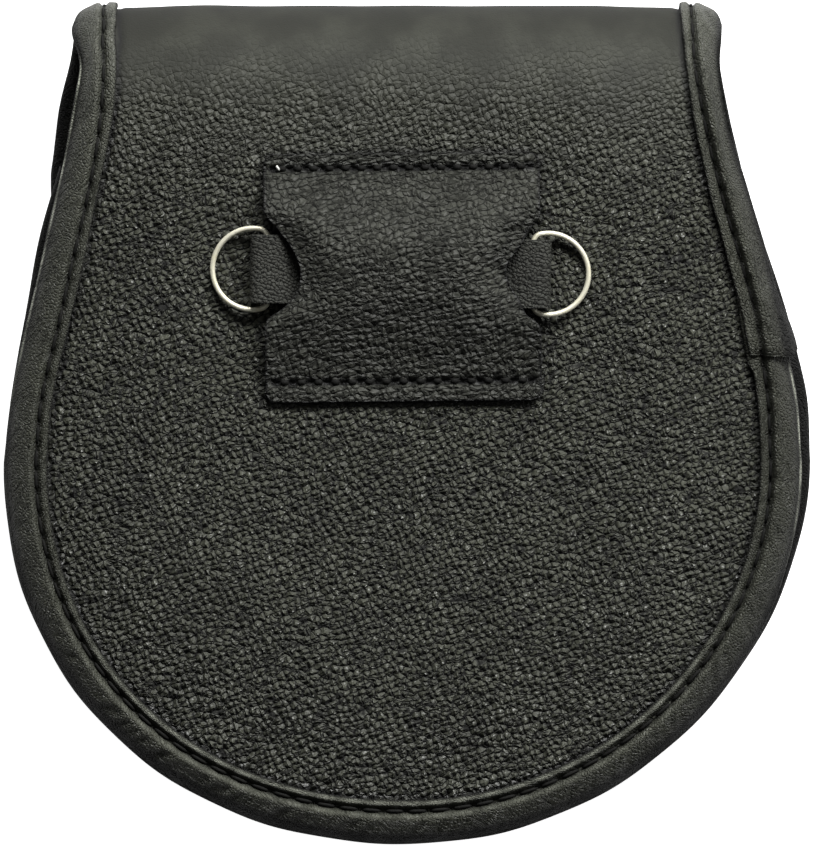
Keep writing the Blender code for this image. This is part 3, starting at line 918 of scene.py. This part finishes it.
def bindingKeys(line, under, lap, up, peek, tight):
    # the strip's section as inset and height: lip, groove, roll, outer edge and underside
    b, gap = binding, pattern["gap"]
    groove, width = seamInsets(line)
    out = b["lapOut"] * lap
    lip = gap + b["skin"]
    plump = b["plump"] - 0.4 * tight
    below = -under - gap
    width = width + peek
    middleOf = groove * 0.6
    low = lowShare(line)
    keys = [
        (width - 0.5, gap),
        (width + 0.05, gap + 0.1),
        (width, lip - 0.2 + up),
        (width - 0.4, lip + 0.08 + up),
        (groove + 1.15 + low * 0.15, lip + 0.1 + up),
        (groove + 0.6 + low * 0.2, lip - 0.35 + up),
        (groove, lip - 0.85 - low * 0.3 + up),
        (groove - 0.6, lip - 0.3 - low * 0.35 + up),
        (groove - 1.2 - low * 0.1, plump - 0.15 - low * 0.5 + up),
        (groove - 2.0 - out * 0.2, plump + low * 0.15 + up),
        (middleOf - 0.5 - out * 0.5, plump - 0.45 + tight * 0.3 + up),
        (2.3 - out * 0.8, plump - 1.2 + tight * 0.9 + up),
        (1.2 - out, plump - 2.15 + tight * 1.5 + up * 0.9),
        (0.5 - out, -1.0 + tight * 1.2 + up * 0.5),
        (0.1 - out, below * 0.5),
        (-out, below * 0.72),
        (0.3 - out, below - 0.3 - lap * 0.25),
        (1.5 - out, below - b["skin"] + 0.05 - lap * 0.4),
        (4.0, below - b["skin"]),
        (7.0, below - b["skin"] + 0.05),
        (7.6, below - 0.45),
        (7.0, below),
        (3.6, below),
        (b["skin"] + 0.1, below + 0.1),
        (b["skin"], below * 0.5),
        (b["skin"] + 0.6, gap - 0.25),
        (3.6, gap - 0.2),
        (7.0, gap - 0.2),
    ]
    # a single number in a key holds for every station
    keys = [np.broadcast_arrays(*key, under)[:2] for key in keys]
    return np.stack([np.stack(key, -1) for key in keys], 1)


def makeBinding(name, line, outward, keys, putAt, replaces, seed, pale=0.0, slant=0.0, outerShade=0.0):
    # line runs along the bound edge, keys holds the section at each of its stations
    b = binding
    sections = np.einsum("pk,nkc->npc", around(keys.shape[1], 3), keys)
    lengths, girth = lengthsOf(line), lengthsOf(sections[len(sections) // 2])
    inset, height = sections[..., 0].copy(), sections[..., 1].copy()
    along = lengths[:, None] + 0 * inset
    outer = height > -0.4
    groove, width = (values[:, None] for values in seamInsets(line))
    low = lowShare(line)[:, None]
    # the thread pulls the groove down at each hole
    turns = 2 * math.pi * along / b["stitchPitch"]
    holes = 0.5 + 0.5 * np.cos(turns)
    nearGroove = bell(inset - groove, b["puckerReach"])
    height -= outer * (holes**3 * b["holeDepth"] - b["betweenHoles"]) * nearGroove
    inset += outer * b["pucker"] * np.sin(turns + 1.0) * nearGroove
    # slanting wrinkles on the roll, a wavering lip and a wavering outer edge
    skewed = along * 0.9 + inset * 1.1
    wrinkles = (
        np.sin(skewed * 1.3 + seed) * np.sin(along * 0.19 + seed * 2) ** 2
        + 0.7 * np.sin(skewed * 2.4 - inset * 0.9 + seed * 3) * np.sin(along * 0.11 + 1.0) ** 2
    )
    rollAt, rollReach = b["rollAt"]
    high = b["wrinkle"][0] + b["wrinkle"][1] * low
    height += outer * high * wrinkles * bell(inset - rollAt, rollReach)
    waver = 0.1 * np.sin(along * 0.37 + seed) + 0.05 * np.sin(along * 1.1 + 2)
    inset += outer * bell(inset - width, 0.7) * waver
    inset -= 0.12 * np.sin(along * 0.23 + seed) * bell(inset, 1.6)
    # the far end lies askew over the start
    fromEnd = lengths[-1] - lengths[:, None]
    askew = slant * (inset - groove) * eased(1 - fromEnd / b["endFades"]) * (height > 0)
    ahead = np.stack([outward[:, 1], -outward[:, 0]], 1)
    x, t = (
        line[:, None, k] - outward[:, None, k] * inset + ahead[:, None, k] * askew for k in (0, 1)
    )
    rings = rested(toFrame(putAt(x, t, height)))
    piece, row, column = tubeMesh(name, rings, lengths, girth)

    # painted shade lies in the groove, most of it at the holes, and in the crease beside the lip
    openHole = np.clip(holes * 1.5 - 0.5, 0, 1) ** 2
    reach = np.where(inset < groove, 0.45, 0.45 + 0.4 * low)
    inGroove = bell(inset - groove, reach) * outer * (0.6 + 0.4 * openHole)
    inCrease = bell(inset - sections[..., 0].max(1)[:, None], 0.3) * outer
    paintedShade = np.maximum(inGroove, inCrease * 0.9)
    # painted shade: the strip darkens towards its outer edge, on the flap, and along the outer edge
    # by the outer shade
    shade = b["flapShade"] * eased((line[:, 1:] - 100) / 4)
    shade = shade * (1 - 0.6 * outer * eased((inset - 2.0) / 3.0)) + outerShade * (inset < 2.5)
    shade = shade + b["edgeShade"] * (1 + low) * (1 - eased((inset - 0.3) / (groove - 2.2)))
    shade = shade + b["edgeDark"] * (1 - eased((inset - 0.4) / (1.5 + 1.3 * low)))
    # a painted highlight along the outer edge, and the tops of ridge and lip paler, partly rubbed
    # wear and partly painted highlight
    rim = bell(inset - b["highlightAt"], 0.26) * (height > -1.9)
    rim = rim * pale * (0.75 + 0.25 * np.sin(along * 0.6 + seed))
    ridge = b["ridgeWearAndHighlight"] * bell(inset - groove + 1.25, 0.4) * (0.35 + 0.65 * low)
    lipTop = bell(inset - width + 0.75, 0.45) * (b["lipWearAndHighlight"] + b["lowLipWearAndHighlight"] * low)
    rubbed = (ridge + lipTop) * (0.7 + 0.3 * np.sin(along * 0.9 + seed))
    # painted sheen: the strip is paler towards the fold
    sheen = b["sheen"] * (0.3 + 0.7 * eased((line[:, 1:] - 20) / 60))
    worn = rim + (rubbed + sheen) * outer * (1 - eased((line[:, 1:] - 96) / 8))
    # the worn mask holds rubbed wear, the painted highlight and the painted sheen
    keepMask(piece, "worn", np.clip(worn, 0, 1)[row, column])
    # the painted highlight stays clear of the painted shade
    shade = shade * (1 - np.clip(rim, 0, 1))
    keepMask(piece, "paintedShade", np.clip(np.maximum(paintedShade, shade), 0, 1)[row, column])
    closeTube(piece)
    finishPiece(piece, bindingLeather, replaces=replaces, angle=60)


def edgeStations():
    # the strip starts on the right under its own end, runs down round the back's bottom, up the
    # left side, over the fold, round the flap and back to its lap
    b = binding
    line = resample(edgeLine(), b["spacing"], closed=True)
    onRight = line[:, 0] > 0
    start = int(np.argmin(np.where(onRight, abs(line[:, 1] - b["lapT"]), math.inf)))
    line = np.roll(line, -start, axis=0)
    extra = int(b["doubled"] / b["spacing"])
    return np.concatenate([line[-extra:], line, line[:1]]), extra


def edgeKeys(line, extra):
    p, b = pattern, binding
    t = line[:, 1]
    order = np.arange(len(line))
    under = p["leather"] + (p["gap"] + 1.0) * (1 - eased((t - p["mouth"] - 2) / 6))
    ending = (line[:, 0] > 0) * (order > len(line) // 2)
    lap = ending * (1 - eased((t - b["lapT"]) / b["lapFades"]))
    doubled = ending * (1 - eased((t - b["lapT"] - b["doubled"] + 4) / 8))
    inner = 1 - eased((order - extra - 1) / 3)
    up = b["lapUp"] * lap + b["doubledUp"] * doubled - b["startDown"] * inner
    up = up - 0.5 * (order == len(line) - 1) - 0.15 * (order == len(line) - 2)
    peek = b["peek"] * inner * eased(order / (extra * 0.8)) - 0.35 * inner * (1 - order / extra)
    return bindingKeys(line, under, lap, up, peek, nearCrest(foldAngle(t)))


def edgeHighlight(line):
    # where the outer edge shows a painted highlight: on the left up to the fold, on the right below
    # the lap
    left = eased((line[:, 1] + 6) / 30) * (1 - eased((line[:, 1] - 82) / 4)) * (line[:, 0] < 0)
    right = eased((16 - line[:, 1]) / 3) * eased((line[:, 1] + 40) / 30) * (line[:, 0] > 0)
    return left + right


def makeEdgeBinding():
    line, extra = edgeStations()
    shape = line, outwardOf(line), edgeKeys(line, extra), foldPoint
    looks = {"pale": edgeHighlight(line)[:, None], "slant": binding["slant"]}
    makeBinding("edge_binding_leather", *shape, ["edge_binding"], 0.4, **looks)


def frontSeam():
    # the front seam from the mouth's right end round the bottom to its left end, its outward
    # normals, and how far the front panel reaches out past the back there
    line = edgeLine()
    half = len(line) // 2
    line = np.roll(line, -int(np.argmin(line[:, 1])), axis=0)
    sides = line[half:], line[:half]
    line = np.concatenate([side[side[:, 1] <= pattern["mouth"]] for side in sides])
    line = resample(line, binding["spacing"], closed=False)
    spread = rowsAt(pattern["frontSpread"], line[:, 1])
    return line, outwardOf(line), np.where(line[:, :1] < 0, spread[:, :1], spread[:, 1:])


def makeFrontBinding():
    p = pattern
    line, outward, spread = frontSeam()
    line = line + outward * spread
    under = np.full(len(line), p["leather"] + p["gap"] + 1.0)
    none = under * 0
    shape = line, outward, bindingKeys(line, under, none, none, none, none), frontPoint
    # painted shade along the front binding's outer edge
    makeBinding("front_binding_leather", *shape, ["front_binding"], 2.1, outerShade=0.85)


gusset = {
    "flange": 1.8,
    "middle": 5.0,  # inset of the flanges' middle
    "wall": 8.3,
    "bellows": 3.0,
    "leather": 1.0,
    "steps": 12,
    "wrinkle": 0.35,
    "pointPitch": 2.4,  # from point to point of the section on the flat pattern
}


def makeGusset():
    p, g = pattern, gusset
    line, outward, spread = frontSeam()
    inner = g["wall"] + g["leather"]
    shares = np.linspace(0, 1, g["steps"] + 2)[1:-1]
    folds = [(share, g["bellows"] * math.sin(math.pi * share) ** 2) for share in shares]
    # the section: share of the way from back to front, inset from the edge, height over the seam
    section = [(0, g["flange"], 0.0)]
    section += [(0, inset, -g["leather"]) for inset in (g["flange"], g["middle"], g["wall"])]
    section += [(share, g["wall"] - out, 0.0) for share, out in folds]
    section += [(1, inset, g["leather"]) for inset in (g["wall"], g["middle"], g["flange"])]
    section += [(1, g["flange"], 0.0), (1, inner, 0.0)]
    section += [(share, inner - out, 0.0) for share, out in folds[::-1]]
    section += [(0, inner, 0.0)]
    lengths = lengthsOf(line)
    along = lengths * 0.42
    backSeam = p["backZ"] - p["leather"] - p["gap"]
    rings = np.empty((len(line), len(section), 3))
    for k, (share, inset, height) in enumerate(section):
        back = line - outward * inset
        front = line + outward * (spread - inset)
        crumple = np.sin(along + 3 * share) * np.sin(along * 0.37 + 1) + 0.6 * np.sin(along * 2.3)
        onWall = 0.0 < share < 1.0
        push = g["wrinkle"] * crumple * math.sin(math.pi * share) * onWall
        point = back + (front - back) * share + outward * push[:, None]
        seam = frontPoint(front[:, 0], front[:, 1], -p["leather"] - p["gap"])[:, 2]
        z = backSeam + (seam - backSeam) * share + height
        rings[:, k] = np.stack([point[:, 0], point[:, 1], z], 1)
    girth = np.arange(len(section)) * g["pointPitch"]
    piece = tubeMesh("gusset_leather", toFrame(rings), lengths, girth)[0]
    closeTube(piece)
    finishPiece(piece, gussetShadedLeather, replaces=["gusset"], angle=60)


# the belt-loop patch
patch = {
    "width": 62.8,
    "bottom": 5.2,
    "top": 61.8,
    "centreX": -0.8,
    "turn": math.radians(0.6),
    "seams": (9.8, 58.4),
    "rise": 8.4,
    "crest": 37.5,
    "droop": 4.3,
    "droopReach": 5.5,
    "skive": (0.4, 0.25, 3.2),  # thinned by this above and below, and its reach
    "sag": 0.25,
    "corner": 2.6,
    "notchY": 34.8,
    "spacing": 0.5,
    "rim": 0.35,
    "hole": (1.1, 0.72),  # half length and half height
    "holePress": 0.75,
    "holeShade": 1.2,
    "seamPress": (0.34, 1.4),  # depth and reach of the channel along a row of stitches
    "seamShade": (0.3, 0.9),
    "rimShade": (0.95, 0.5, 0.45),  # painted shade: all of it, reach at the sides, reach at both ends
    "holesInset": 2.4,
    "notch": (  # height over the notch's middle, depth at left, depth at right
        (-13.6, 0.0, 0.0),
        (-11.8, 0.2, 1.1),
        (-10.4, 0.8, 3.1),
        (-8.6, 3.6, 4.2),
        (-6.4, 5.9, 5.1),
        (-4.2, 7.4, 6.6),
        (-1.6, 8.1, 7.7),
        (0.6, 8.2, 7.9),
        (2.4, 7.7, 6.9),
        (5.8, 6.1, 4.4),
        (7.8, 4.7, 3.3),
        (9.3, 3.5, 2.8),
        (10.6, 2.5, 0.8),
        (11.8, 1.3, 0.1),
        (13.6, 0.0, 0.0),
    ),
    "stitches": (16, 17),  # holes in the lower and the upper row
    "threadEnd": (-28.1, 58.6),
}


def patchHalfWidths(y):
    p = patch
    fromEnd = np.minimum(y - p["bottom"], p["top"] - y)
    inside = np.clip(p["corner"] - fromEnd, 0, p["corner"])
    corner = p["corner"] - np.sqrt(p["corner"] ** 2 - inside**2)
    depths = np.maximum(rowsAt(p["notch"], y - p["notchY"]), 0.0)
    return p["width"] / 2 - corner[..., None] - depths


def patchSide(x, y):
    # distance from the nearer side of the patch
    widths = patchHalfWidths(y)
    return np.minimum(widths[:, 0] + x, widths[:, 1] - x)


def patchArch(y):
    low, high = patch["seams"]
    crest = patch["crest"]
    reach = np.where(y > crest, high - crest, crest - low)
    u = np.clip(abs(y - crest) / reach, 0, 1)
    return patch["rise"] * np.cos(math.pi / 2 * u) ** 1.5


def patchDroop(x, y):
    # the sides hang down towards the strap round the notches, where the patch arches high
    high = eased((patchArch(y) - 3.6) / 4.4)
    return patch["droop"] * bell(patchSide(x, y), patch["droopReach"]) * high


def patchPoint(x, y, h):
    p = patch
    px, py = turnedAbout((p["centreX"], p["notchY"]), p["turn"], x, y - p["notchY"])
    under = foldPoint(px, py, 0.0)[..., 2]
    return np.stack([px, py, under + pattern["gap"] + pattern["leather"] + patchArch(y) + h], -1)


def outsidePatch(px, py):
    # how far a point of the back lies outside the patch's outline
    p = patch
    x, y = turnedAbout((0.0, p["notchY"]), -p["turn"], px - p["centreX"], py - p["notchY"])
    widths = patchHalfWidths(np.clip(y, p["bottom"], p["top"]))
    beside = np.maximum(x - widths[:, 1], -x - widths[:, 0])
    return np.maximum(beside, np.maximum(p["bottom"] - y, y - p["top"]))


def patchHoles(row):
    # middles of one row's holes along x, evenly between the patch's sides
    reach = patch["width"] / 2 - patch["holesInset"]
    return np.linspace(-reach, reach, patch["stitches"][row])


def makePatch():
    p = patch
    low, high = p["bottom"] + 0.02, p["top"] - 0.02
    piece, flat = cutSheet(
        "loop_patch_leather", low, high, p["spacing"], patchHalfWidths, p["rim"]
    )
    x, y, h = flat.T
    press, paintedShade = 0.0, 0.0
    across, upward = p["hole"]
    # a channel and holes pressed along each row of stitches, with painted shade in them
    for row, seam in enumerate(p["seams"]):
        away = y - seam
        press = press + p["seamPress"][0] * bell(away, p["seamPress"][1])
        paintedShade = paintedShade + p["seamShade"][0] * bell(away, p["seamShade"][1])
        for k, middleX in enumerate(patchHoles(row)):
            shifted = away + 0.12 * math.sin(k * 2.3 + row)
            hole = np.exp(-(((x - middleX) / across) ** 4) - (shifted / upward) ** 4)
            press = press + p["holePress"] * hole
            paintedShade = paintedShade + p["holeShade"] * hole
    # painted shade round the rim, on the cut edges and underside, and along both ends
    top = h > -pattern["leather"] * 0.6
    share, sideReach, endReach = p["rimShade"]
    rim = bell(patchSide(x, y), sideReach) + ~top * 1.0
    rim = rim + bell(y - p["bottom"], endReach)
    rim = rim + 0.8 * bell(y - p["top"], endReach)
    keepMask(piece, "paintedShade", np.clip(paintedShade * top + rim * share, 0, 1))
    dents = p["sag"] * waves(flat[:, :2] * 1.6, 5.0) * eased(patchArch(y) / 3.0)
    above, below, reach = p["skive"]
    thinned = 1 - eased((y - p["bottom"]) / reach)
    skived = above * thinned * top + below * thinned * ~top
    lowered = skived + patchDroop(x, y) + press * top
    writePoints(piece, toFrame(patchPoint(x, y, h + dents - lowered)))
    finishPiece(piece, patchLeather, replaces=["loop_patch"])


# the strap that holds the rings, with a loop at each end
strap = {
    "width": 15.7,
    "centre": (-1.25, 34.7),
    "halfLength": 34.25,
    "turn": math.radians(-1.05),
    "underLayer": 13.0,
    "leather": 1.1,
    "clearance": 0.45,  # between the loop and the wire in it
    "spacing": 0.55,
    "columns": 22,
    "rim": 0.25,
}

ring = {
    "wire": 1.2,
    "radius": 9.25,
    "points": 160,
    "barOffset": 3.5,  # from the ring's middle to its straight bar
    "corner": 2.2,
    "barX": 30.1,  # from the middle of the strap
    "centresY": {"ring_left": 35.35, "ring_right": 34.2},
}


def strapLine():
    # middle line of the leather from one end to the other, seen from the side
    s = strap
    half = s["leather"] / 2
    under = pattern["gap"] + half
    radius = (ring["wire"] + 2 * s["clearance"]) / 2 + half
    loopX = s["halfLength"] - radius - half
    folded = s["halfLength"] - s["underLayer"]
    end = [(folded, under), (folded + 4, under), (loopX - 3, under), (loopX, under)]
    for turn in np.radians(np.linspace(-75, 75, 9)):
        end.append((loopX + radius * math.cos(turn), under + radius * (1 + math.sin(turn))))
    double = under + s["leather"] + pattern["gap"]
    end += [(loopX, under + 2 * radius), (loopX - 2.4, under + 2 * radius - 0.05)]
    end += [(loopX - 4.8, under + 2 * radius - 0.5), (loopX - 7.2, double + 0.1)]
    end += [(folded + 1.5, double), (folded - 0.8, double - 0.05), (folded - 4.0, under)]
    end += [(folded - 10.0, under)]
    line = np.array([(-x, h) for x, h in end] + end[::-1])
    return resample(smoothed(line), s["spacing"], closed=False)


def smoothed(line, rounds=2):
    # corner cutting, with both ends kept
    for _ in range(rounds):
        near, far = line[:-1], line[1:]
        cut = np.empty((2 * len(near), 2))
        cut[0::2], cut[1::2] = near * 0.75 + far * 0.25, near * 0.25 + far * 0.75
        line = np.concatenate([line[:1], cut, line[-1:]])
    return line


def makeStrap():
    s = strap
    line = strapLine()
    normals, lengths = outwardOf(line), lengthsOf(line)
    piece, flat = addGrid("ring_strap_leather", len(line) - 1, s["columns"])
    row = np.rint((flat[:, 0] + 0.5) * (len(line) - 1)).astype(int)
    writePoints(piece, np.stack([lengths[row], flat[:, 1] * s["width"], row * 0.0], 1))
    at, across, h = thicken(piece, s["leather"], 0.0, s["rim"]).T
    onLine, onNormal = (
        np.stack([np.interp(at, lengths, column) for column in rows.T]) for rows in (line, normals)
    )
    along, up = onLine + onNormal * h
    x, y = turnedAbout(s["centre"], s["turn"], along, across)
    writePoints(piece, toFrame(np.stack([x, y, backHigh + up], 1)))
    finishPiece(piece, strapLeather, replaces=["ring_strap"])


def makeRing(name, side):
    # a circle of wire with one side straightened into the bar, tipped onto the back
    r = ring
    deselect()
    bpy.ops.mesh.primitive_circle_add(vertices=r["points"], radius=r["radius"])
    piece = named(name + "_wire")
    points = readPoints(piece)
    inner = r["radius"] - r["corner"]
    cornerY = math.sqrt(inner**2 - (r["barOffset"] - r["corner"]) ** 2)
    x, y = points[:, 0] - r["barOffset"], points[:, 1].copy()
    # points past the bar's line go onto the rounded corners and the straight bar
    angle = np.arctan2(abs(y), x + r["barOffset"])
    meets = math.atan2(cornerY, r["barOffset"] - r["corner"])
    share = np.clip(angle / meets, 0, 1)
    barPart = cornerY / (cornerY + r["corner"] * meets)
    onBar = share < barPart
    turn = np.clip((share - barPart) / (1 - barPart), 0, 1) * meets
    shaped = angle < meets
    bentX = np.where(onBar, 0.0, r["corner"] * (np.cos(turn) - 1))
    bentY = np.where(onBar, share / barPart * cornerY, cornerY + r["corner"] * np.sin(turn))
    x = np.where(shaped, bentX, x)
    y = np.where(shaped, np.sign(points[:, 1]) * bentY, y)
    writePoints(piece, np.stack([-side * x, y, x * 0], 1) * mm)
    only(piece)
    bpy.ops.object.convert(target="CURVE")
    piece = bpy.context.active_object
    piece.data.bevel_depth = r["wire"] / 2 * mm
    piece.data.bevel_resolution = 6
    bpy.ops.object.convert(target="MESH")
    piece = named(name + "_wire")
    barHeight = pattern["gap"] + strap["leather"] + strap["clearance"] + r["wire"] / 2
    drop = barHeight - pattern["gap"] - r["wire"] / 2
    tip = math.asin(drop / (r["radius"] + r["barOffset"]))
    piece.rotation_euler = (0.0, side * tip, 0.0)
    spot = [strap["centre"][0] + side * r["barX"], r["centresY"][name], backHigh + barHeight]
    piece.location = Vector(toFrame(np.array(spot)))
    finishPiece(piece, ringMetal, body=name, replaces=[name], angle=80)


stitch = {  # length, width, thickness
    "edge": (4.3, 0.8, 0.5),
    "patch": (2.0, 1.2, 0.7),
    "end": (1.5, 0.6, 0.6),
}


def makeStitch(length, width, thick):
    # one stitch: a drawn-out ball of thread whose ends go down into their holes
    deselect()
    bpy.ops.mesh.primitive_uv_sphere_add(segments=8, ring_count=8, radius=0.5)
    piece = named("stitch")
    points = readPoints(piece)
    along = points[:, 2].copy() * 2
    girth = np.hypot(points[:, 0], points[:, 1])
    girth = np.where(girth > 1e-6, girth, 1.0)
    full = (1 - abs(along) ** 3.5) ** 0.5 / 2 / girth
    x = along / 2 * length
    y = points[:, 0] * full * width
    z = points[:, 1] * full * thick - 0.55 * abs(along) ** 4
    writePoints(piece, np.stack([x, y, z], 1) * mm)
    bpy.ops.object.shade_smooth()
    return piece


def sewRow(name, kind, places, material):
    # copies of one stitch, each with its own mesh, joined into a row
    one = makeStitch(*stitch[kind])
    copies = []
    for place in places:
        copy = one.copy()
        copy.data = one.data.copy()
        copy.matrix_world = place
        bpy.context.scene.collection.objects.link(copy)
        copies.append(copy)
    deselect()
    for copy in copies:
        copy.select_set(True)
    bpy.context.view_layer.objects.active = copies[0]
    bpy.ops.object.join()
    finishPiece(named(name), material, angle=180)
    bpy.data.objects.remove(one)


def placeOn(point, ahead, up):
    # a matrix that stands on a point, x along the row and z out of the leather
    xAxis = Vector(ahead).normalized()
    zAxis = Vector(up)
    yAxis = zAxis.cross(xAxis).normalized()
    zAxis = xAxis.cross(yAxis)
    matrix = Matrix((xAxis, yAxis, zAxis)).transposed().to_4x4()
    matrix.translation = Vector(point)
    return matrix


def rowPlaces(x, t, place, h):
    points = toFrame(place(x, t, h + x * 0))
    above = toFrame(place(x, t, h + 1.0 + x * 0))
    ahead = np.gradient(points, axis=0)
    return points, ahead, above - points


def sewBinding(name, line, putAt, start=0.0):
    # stitches in the groove, midway between its holes, from the start's length on
    pitch = binding["stitchPitch"]
    lengths = lengthsOf(line)
    inner = line - outwardOf(line) * seamInsets(line)[0][:, None]
    rows = rowPlaces(inner[:, 0], inner[:, 1], putAt, binding["stitchUp"])
    places = []
    at = pitch * 1.5
    while at < lengths[-1] - pitch:
        if at >= start:
            here = [np.array([np.interp(at, lengths, v[:, k]) for k in range(3)]) for v in rows]
            places.append(placeOn(*here))
        at += pitch
    sewRow(name, "edge", places, threadMaterial)


def sewPatch():
    p = patch
    names = ("patch_stitches_low", "patch_stitches_high")
    for row, (name, seam) in enumerate(zip(names, p["seams"])):
        x = patchHoles(row)
        x = (x[1:] + x[:-1]) / 2
        rows = rowPlaces(x, x * 0 + seam, patchPoint, -0.12)
        places = [placeOn(*here) for here in zip(*rows)]
        sewRow(name, "patch", places, threadMaterial)
    end = np.array(p["threadEnd"])[:, None]
    spot = toFrame(patchPoint(*end, 0.15))[0]
    place = placeOn(spot, (0.45, -0.8, 0.1), (0.0, 0.0, 1.0))
    sewRow("patch_thread_end", "end", [place], looseMaterial)


snap = {"radius": 7.0, "rim": 0.5}


def makeSnap():
    low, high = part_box("snap_fastener")
    deselect()
    bpy.ops.mesh.primitive_cylinder_add(
        vertices=64, radius=snap["radius"] * mm, depth=high.z - low.z, location=(low + high) / 2
    )
    piece = named("snap_disc")
    modify(piece, "BEVEL", width=snap["rim"] * mm, segments=3, limit_method="ANGLE")
    finishPiece(piece, snapMetal, replaces=["snap_fastener"])


makeBackAndFlap()
print("back and flap bent over the fold")
makeFrontPanel()
makeGusset()
print("front panel and gusset in place")
makeEdgeBinding()
makeFrontBinding()
print("bindings wrapped round the edges")
makePatch()
makeStrap()
makeRing("ring_left", -1)
makeRing("ring_right", 1)
print("patch, strap and rings on the back")
edgeRow, edgeExtra = edgeStations()
coveredLength = edgeExtra * binding["spacing"] + 3
sewBinding("edge_stitches", edgeRow, foldPoint, start=coveredLength)
frontRow, frontOut, frontSpread = frontSeam()
sewBinding("front_stitches", frontRow + frontOut * frontSpread, frontPoint)
sewPatch()
makeSnap()
print("stitches sewn and snap in place")


# floor, light and camera
studio = {
    "pixel": 0.2275,  # mm a pixel at the back panel
    "image": (813, 850),
    "originPixel": (406.0, 424.5),  # where the cut pattern's origin lies in the picture
    "distance": 3.0,
    "backHeight": 0.034,
    "sensor": 36.0,
    "floorGlow": 0.36,  # the camera sees floor and background white, the object less of it
    "worldGlow": 0.045,
    "aim": (0.0, 0.0, 0.03),
    "lamps": (  # name, place, size, power
        ("keyLight", (0.55, 1.5, 1.1), (1.8, 0.5), 72.0),
        ("leftLight", (-1.7, 0.3, 0.8), (0.5, 1.4), 1.0),
        ("rightLight", (1.7, 0.3, 0.8), (0.5, 1.4), 4.0),
    ),
}


def lamp(name, spot, size, power):
    deselect()
    bpy.ops.object.light_add(type="AREA", location=spot)
    light = bpy.context.active_object
    light.name = name
    light.data.shape = "RECTANGLE"
    light.data.size, light.data.size_y = size
    light.data.energy = power
    aim = Vector(studio["aim"]) - Vector(spot)
    light.rotation_euler = aim.to_track_quat("-Z", "Y").to_euler()


def glow(tree, strength):
    seen = put(tree, "ShaderNodeLightPath").outputs["Is Camera Ray"]
    return mapRange(tree, seen, 0.0, 1.0, strength, 1.0)


def makeStudio():
    s = studio
    deselect()
    bpy.ops.mesh.primitive_plane_add(size=12)
    floor = named("floor")
    material, tree, shader = startMaterial("palePaper")
    fibres = speckle(tree, 900.0, 2.0)
    surface = {
        "Base Color": mixColour(tree, fibres, (0.93, 0.93, 0.93, 1.0), (0.96, 0.96, 0.96, 1.0)),
        "Roughness": 0.9,
        "Emission Color": (1.0, 1.0, 1.0, 1.0),
        "Emission Strength": glow(tree, s["floorGlow"]),
    }
    feed(tree, shader, surface)
    floor.data.materials.append(material)

    for settings in s["lamps"]:
        lamp(*settings)
    world = bpy.data.worlds.new("studio")
    world.use_nodes = True
    tree = world.node_tree
    background = {"Color": (1.0, 1.0, 1.0, 1.0), "Strength": glow(tree, s["worldGlow"])}
    feed(tree, tree.nodes["Background"], background)
    bpy.context.scene.world = world
    bpy.context.scene.view_settings.view_transform = "Standard"

    deselect()
    across = (s["image"][0] / 2 - s["originPixel"][0]) * s["pixel"]
    up = (s["originPixel"][1] - s["image"][1] / 2) * s["pixel"]
    spot = toFrame(np.array([across, up, 0.0]))
    bpy.ops.object.camera_add(location=(spot[0], spot[1], s["distance"]), rotation=(0, 0, 0))
    camera = bpy.context.active_object
    height = s["image"][1] * s["pixel"] * mm
    camera.data.sensor_width = s["sensor"]
    camera.data.lens = s["sensor"] * (s["distance"] - s["backHeight"]) / height
    camera.data.clip_end = 50.0
    bpy.context.scene.camera = camera


makeStudio()
print("studio ready")
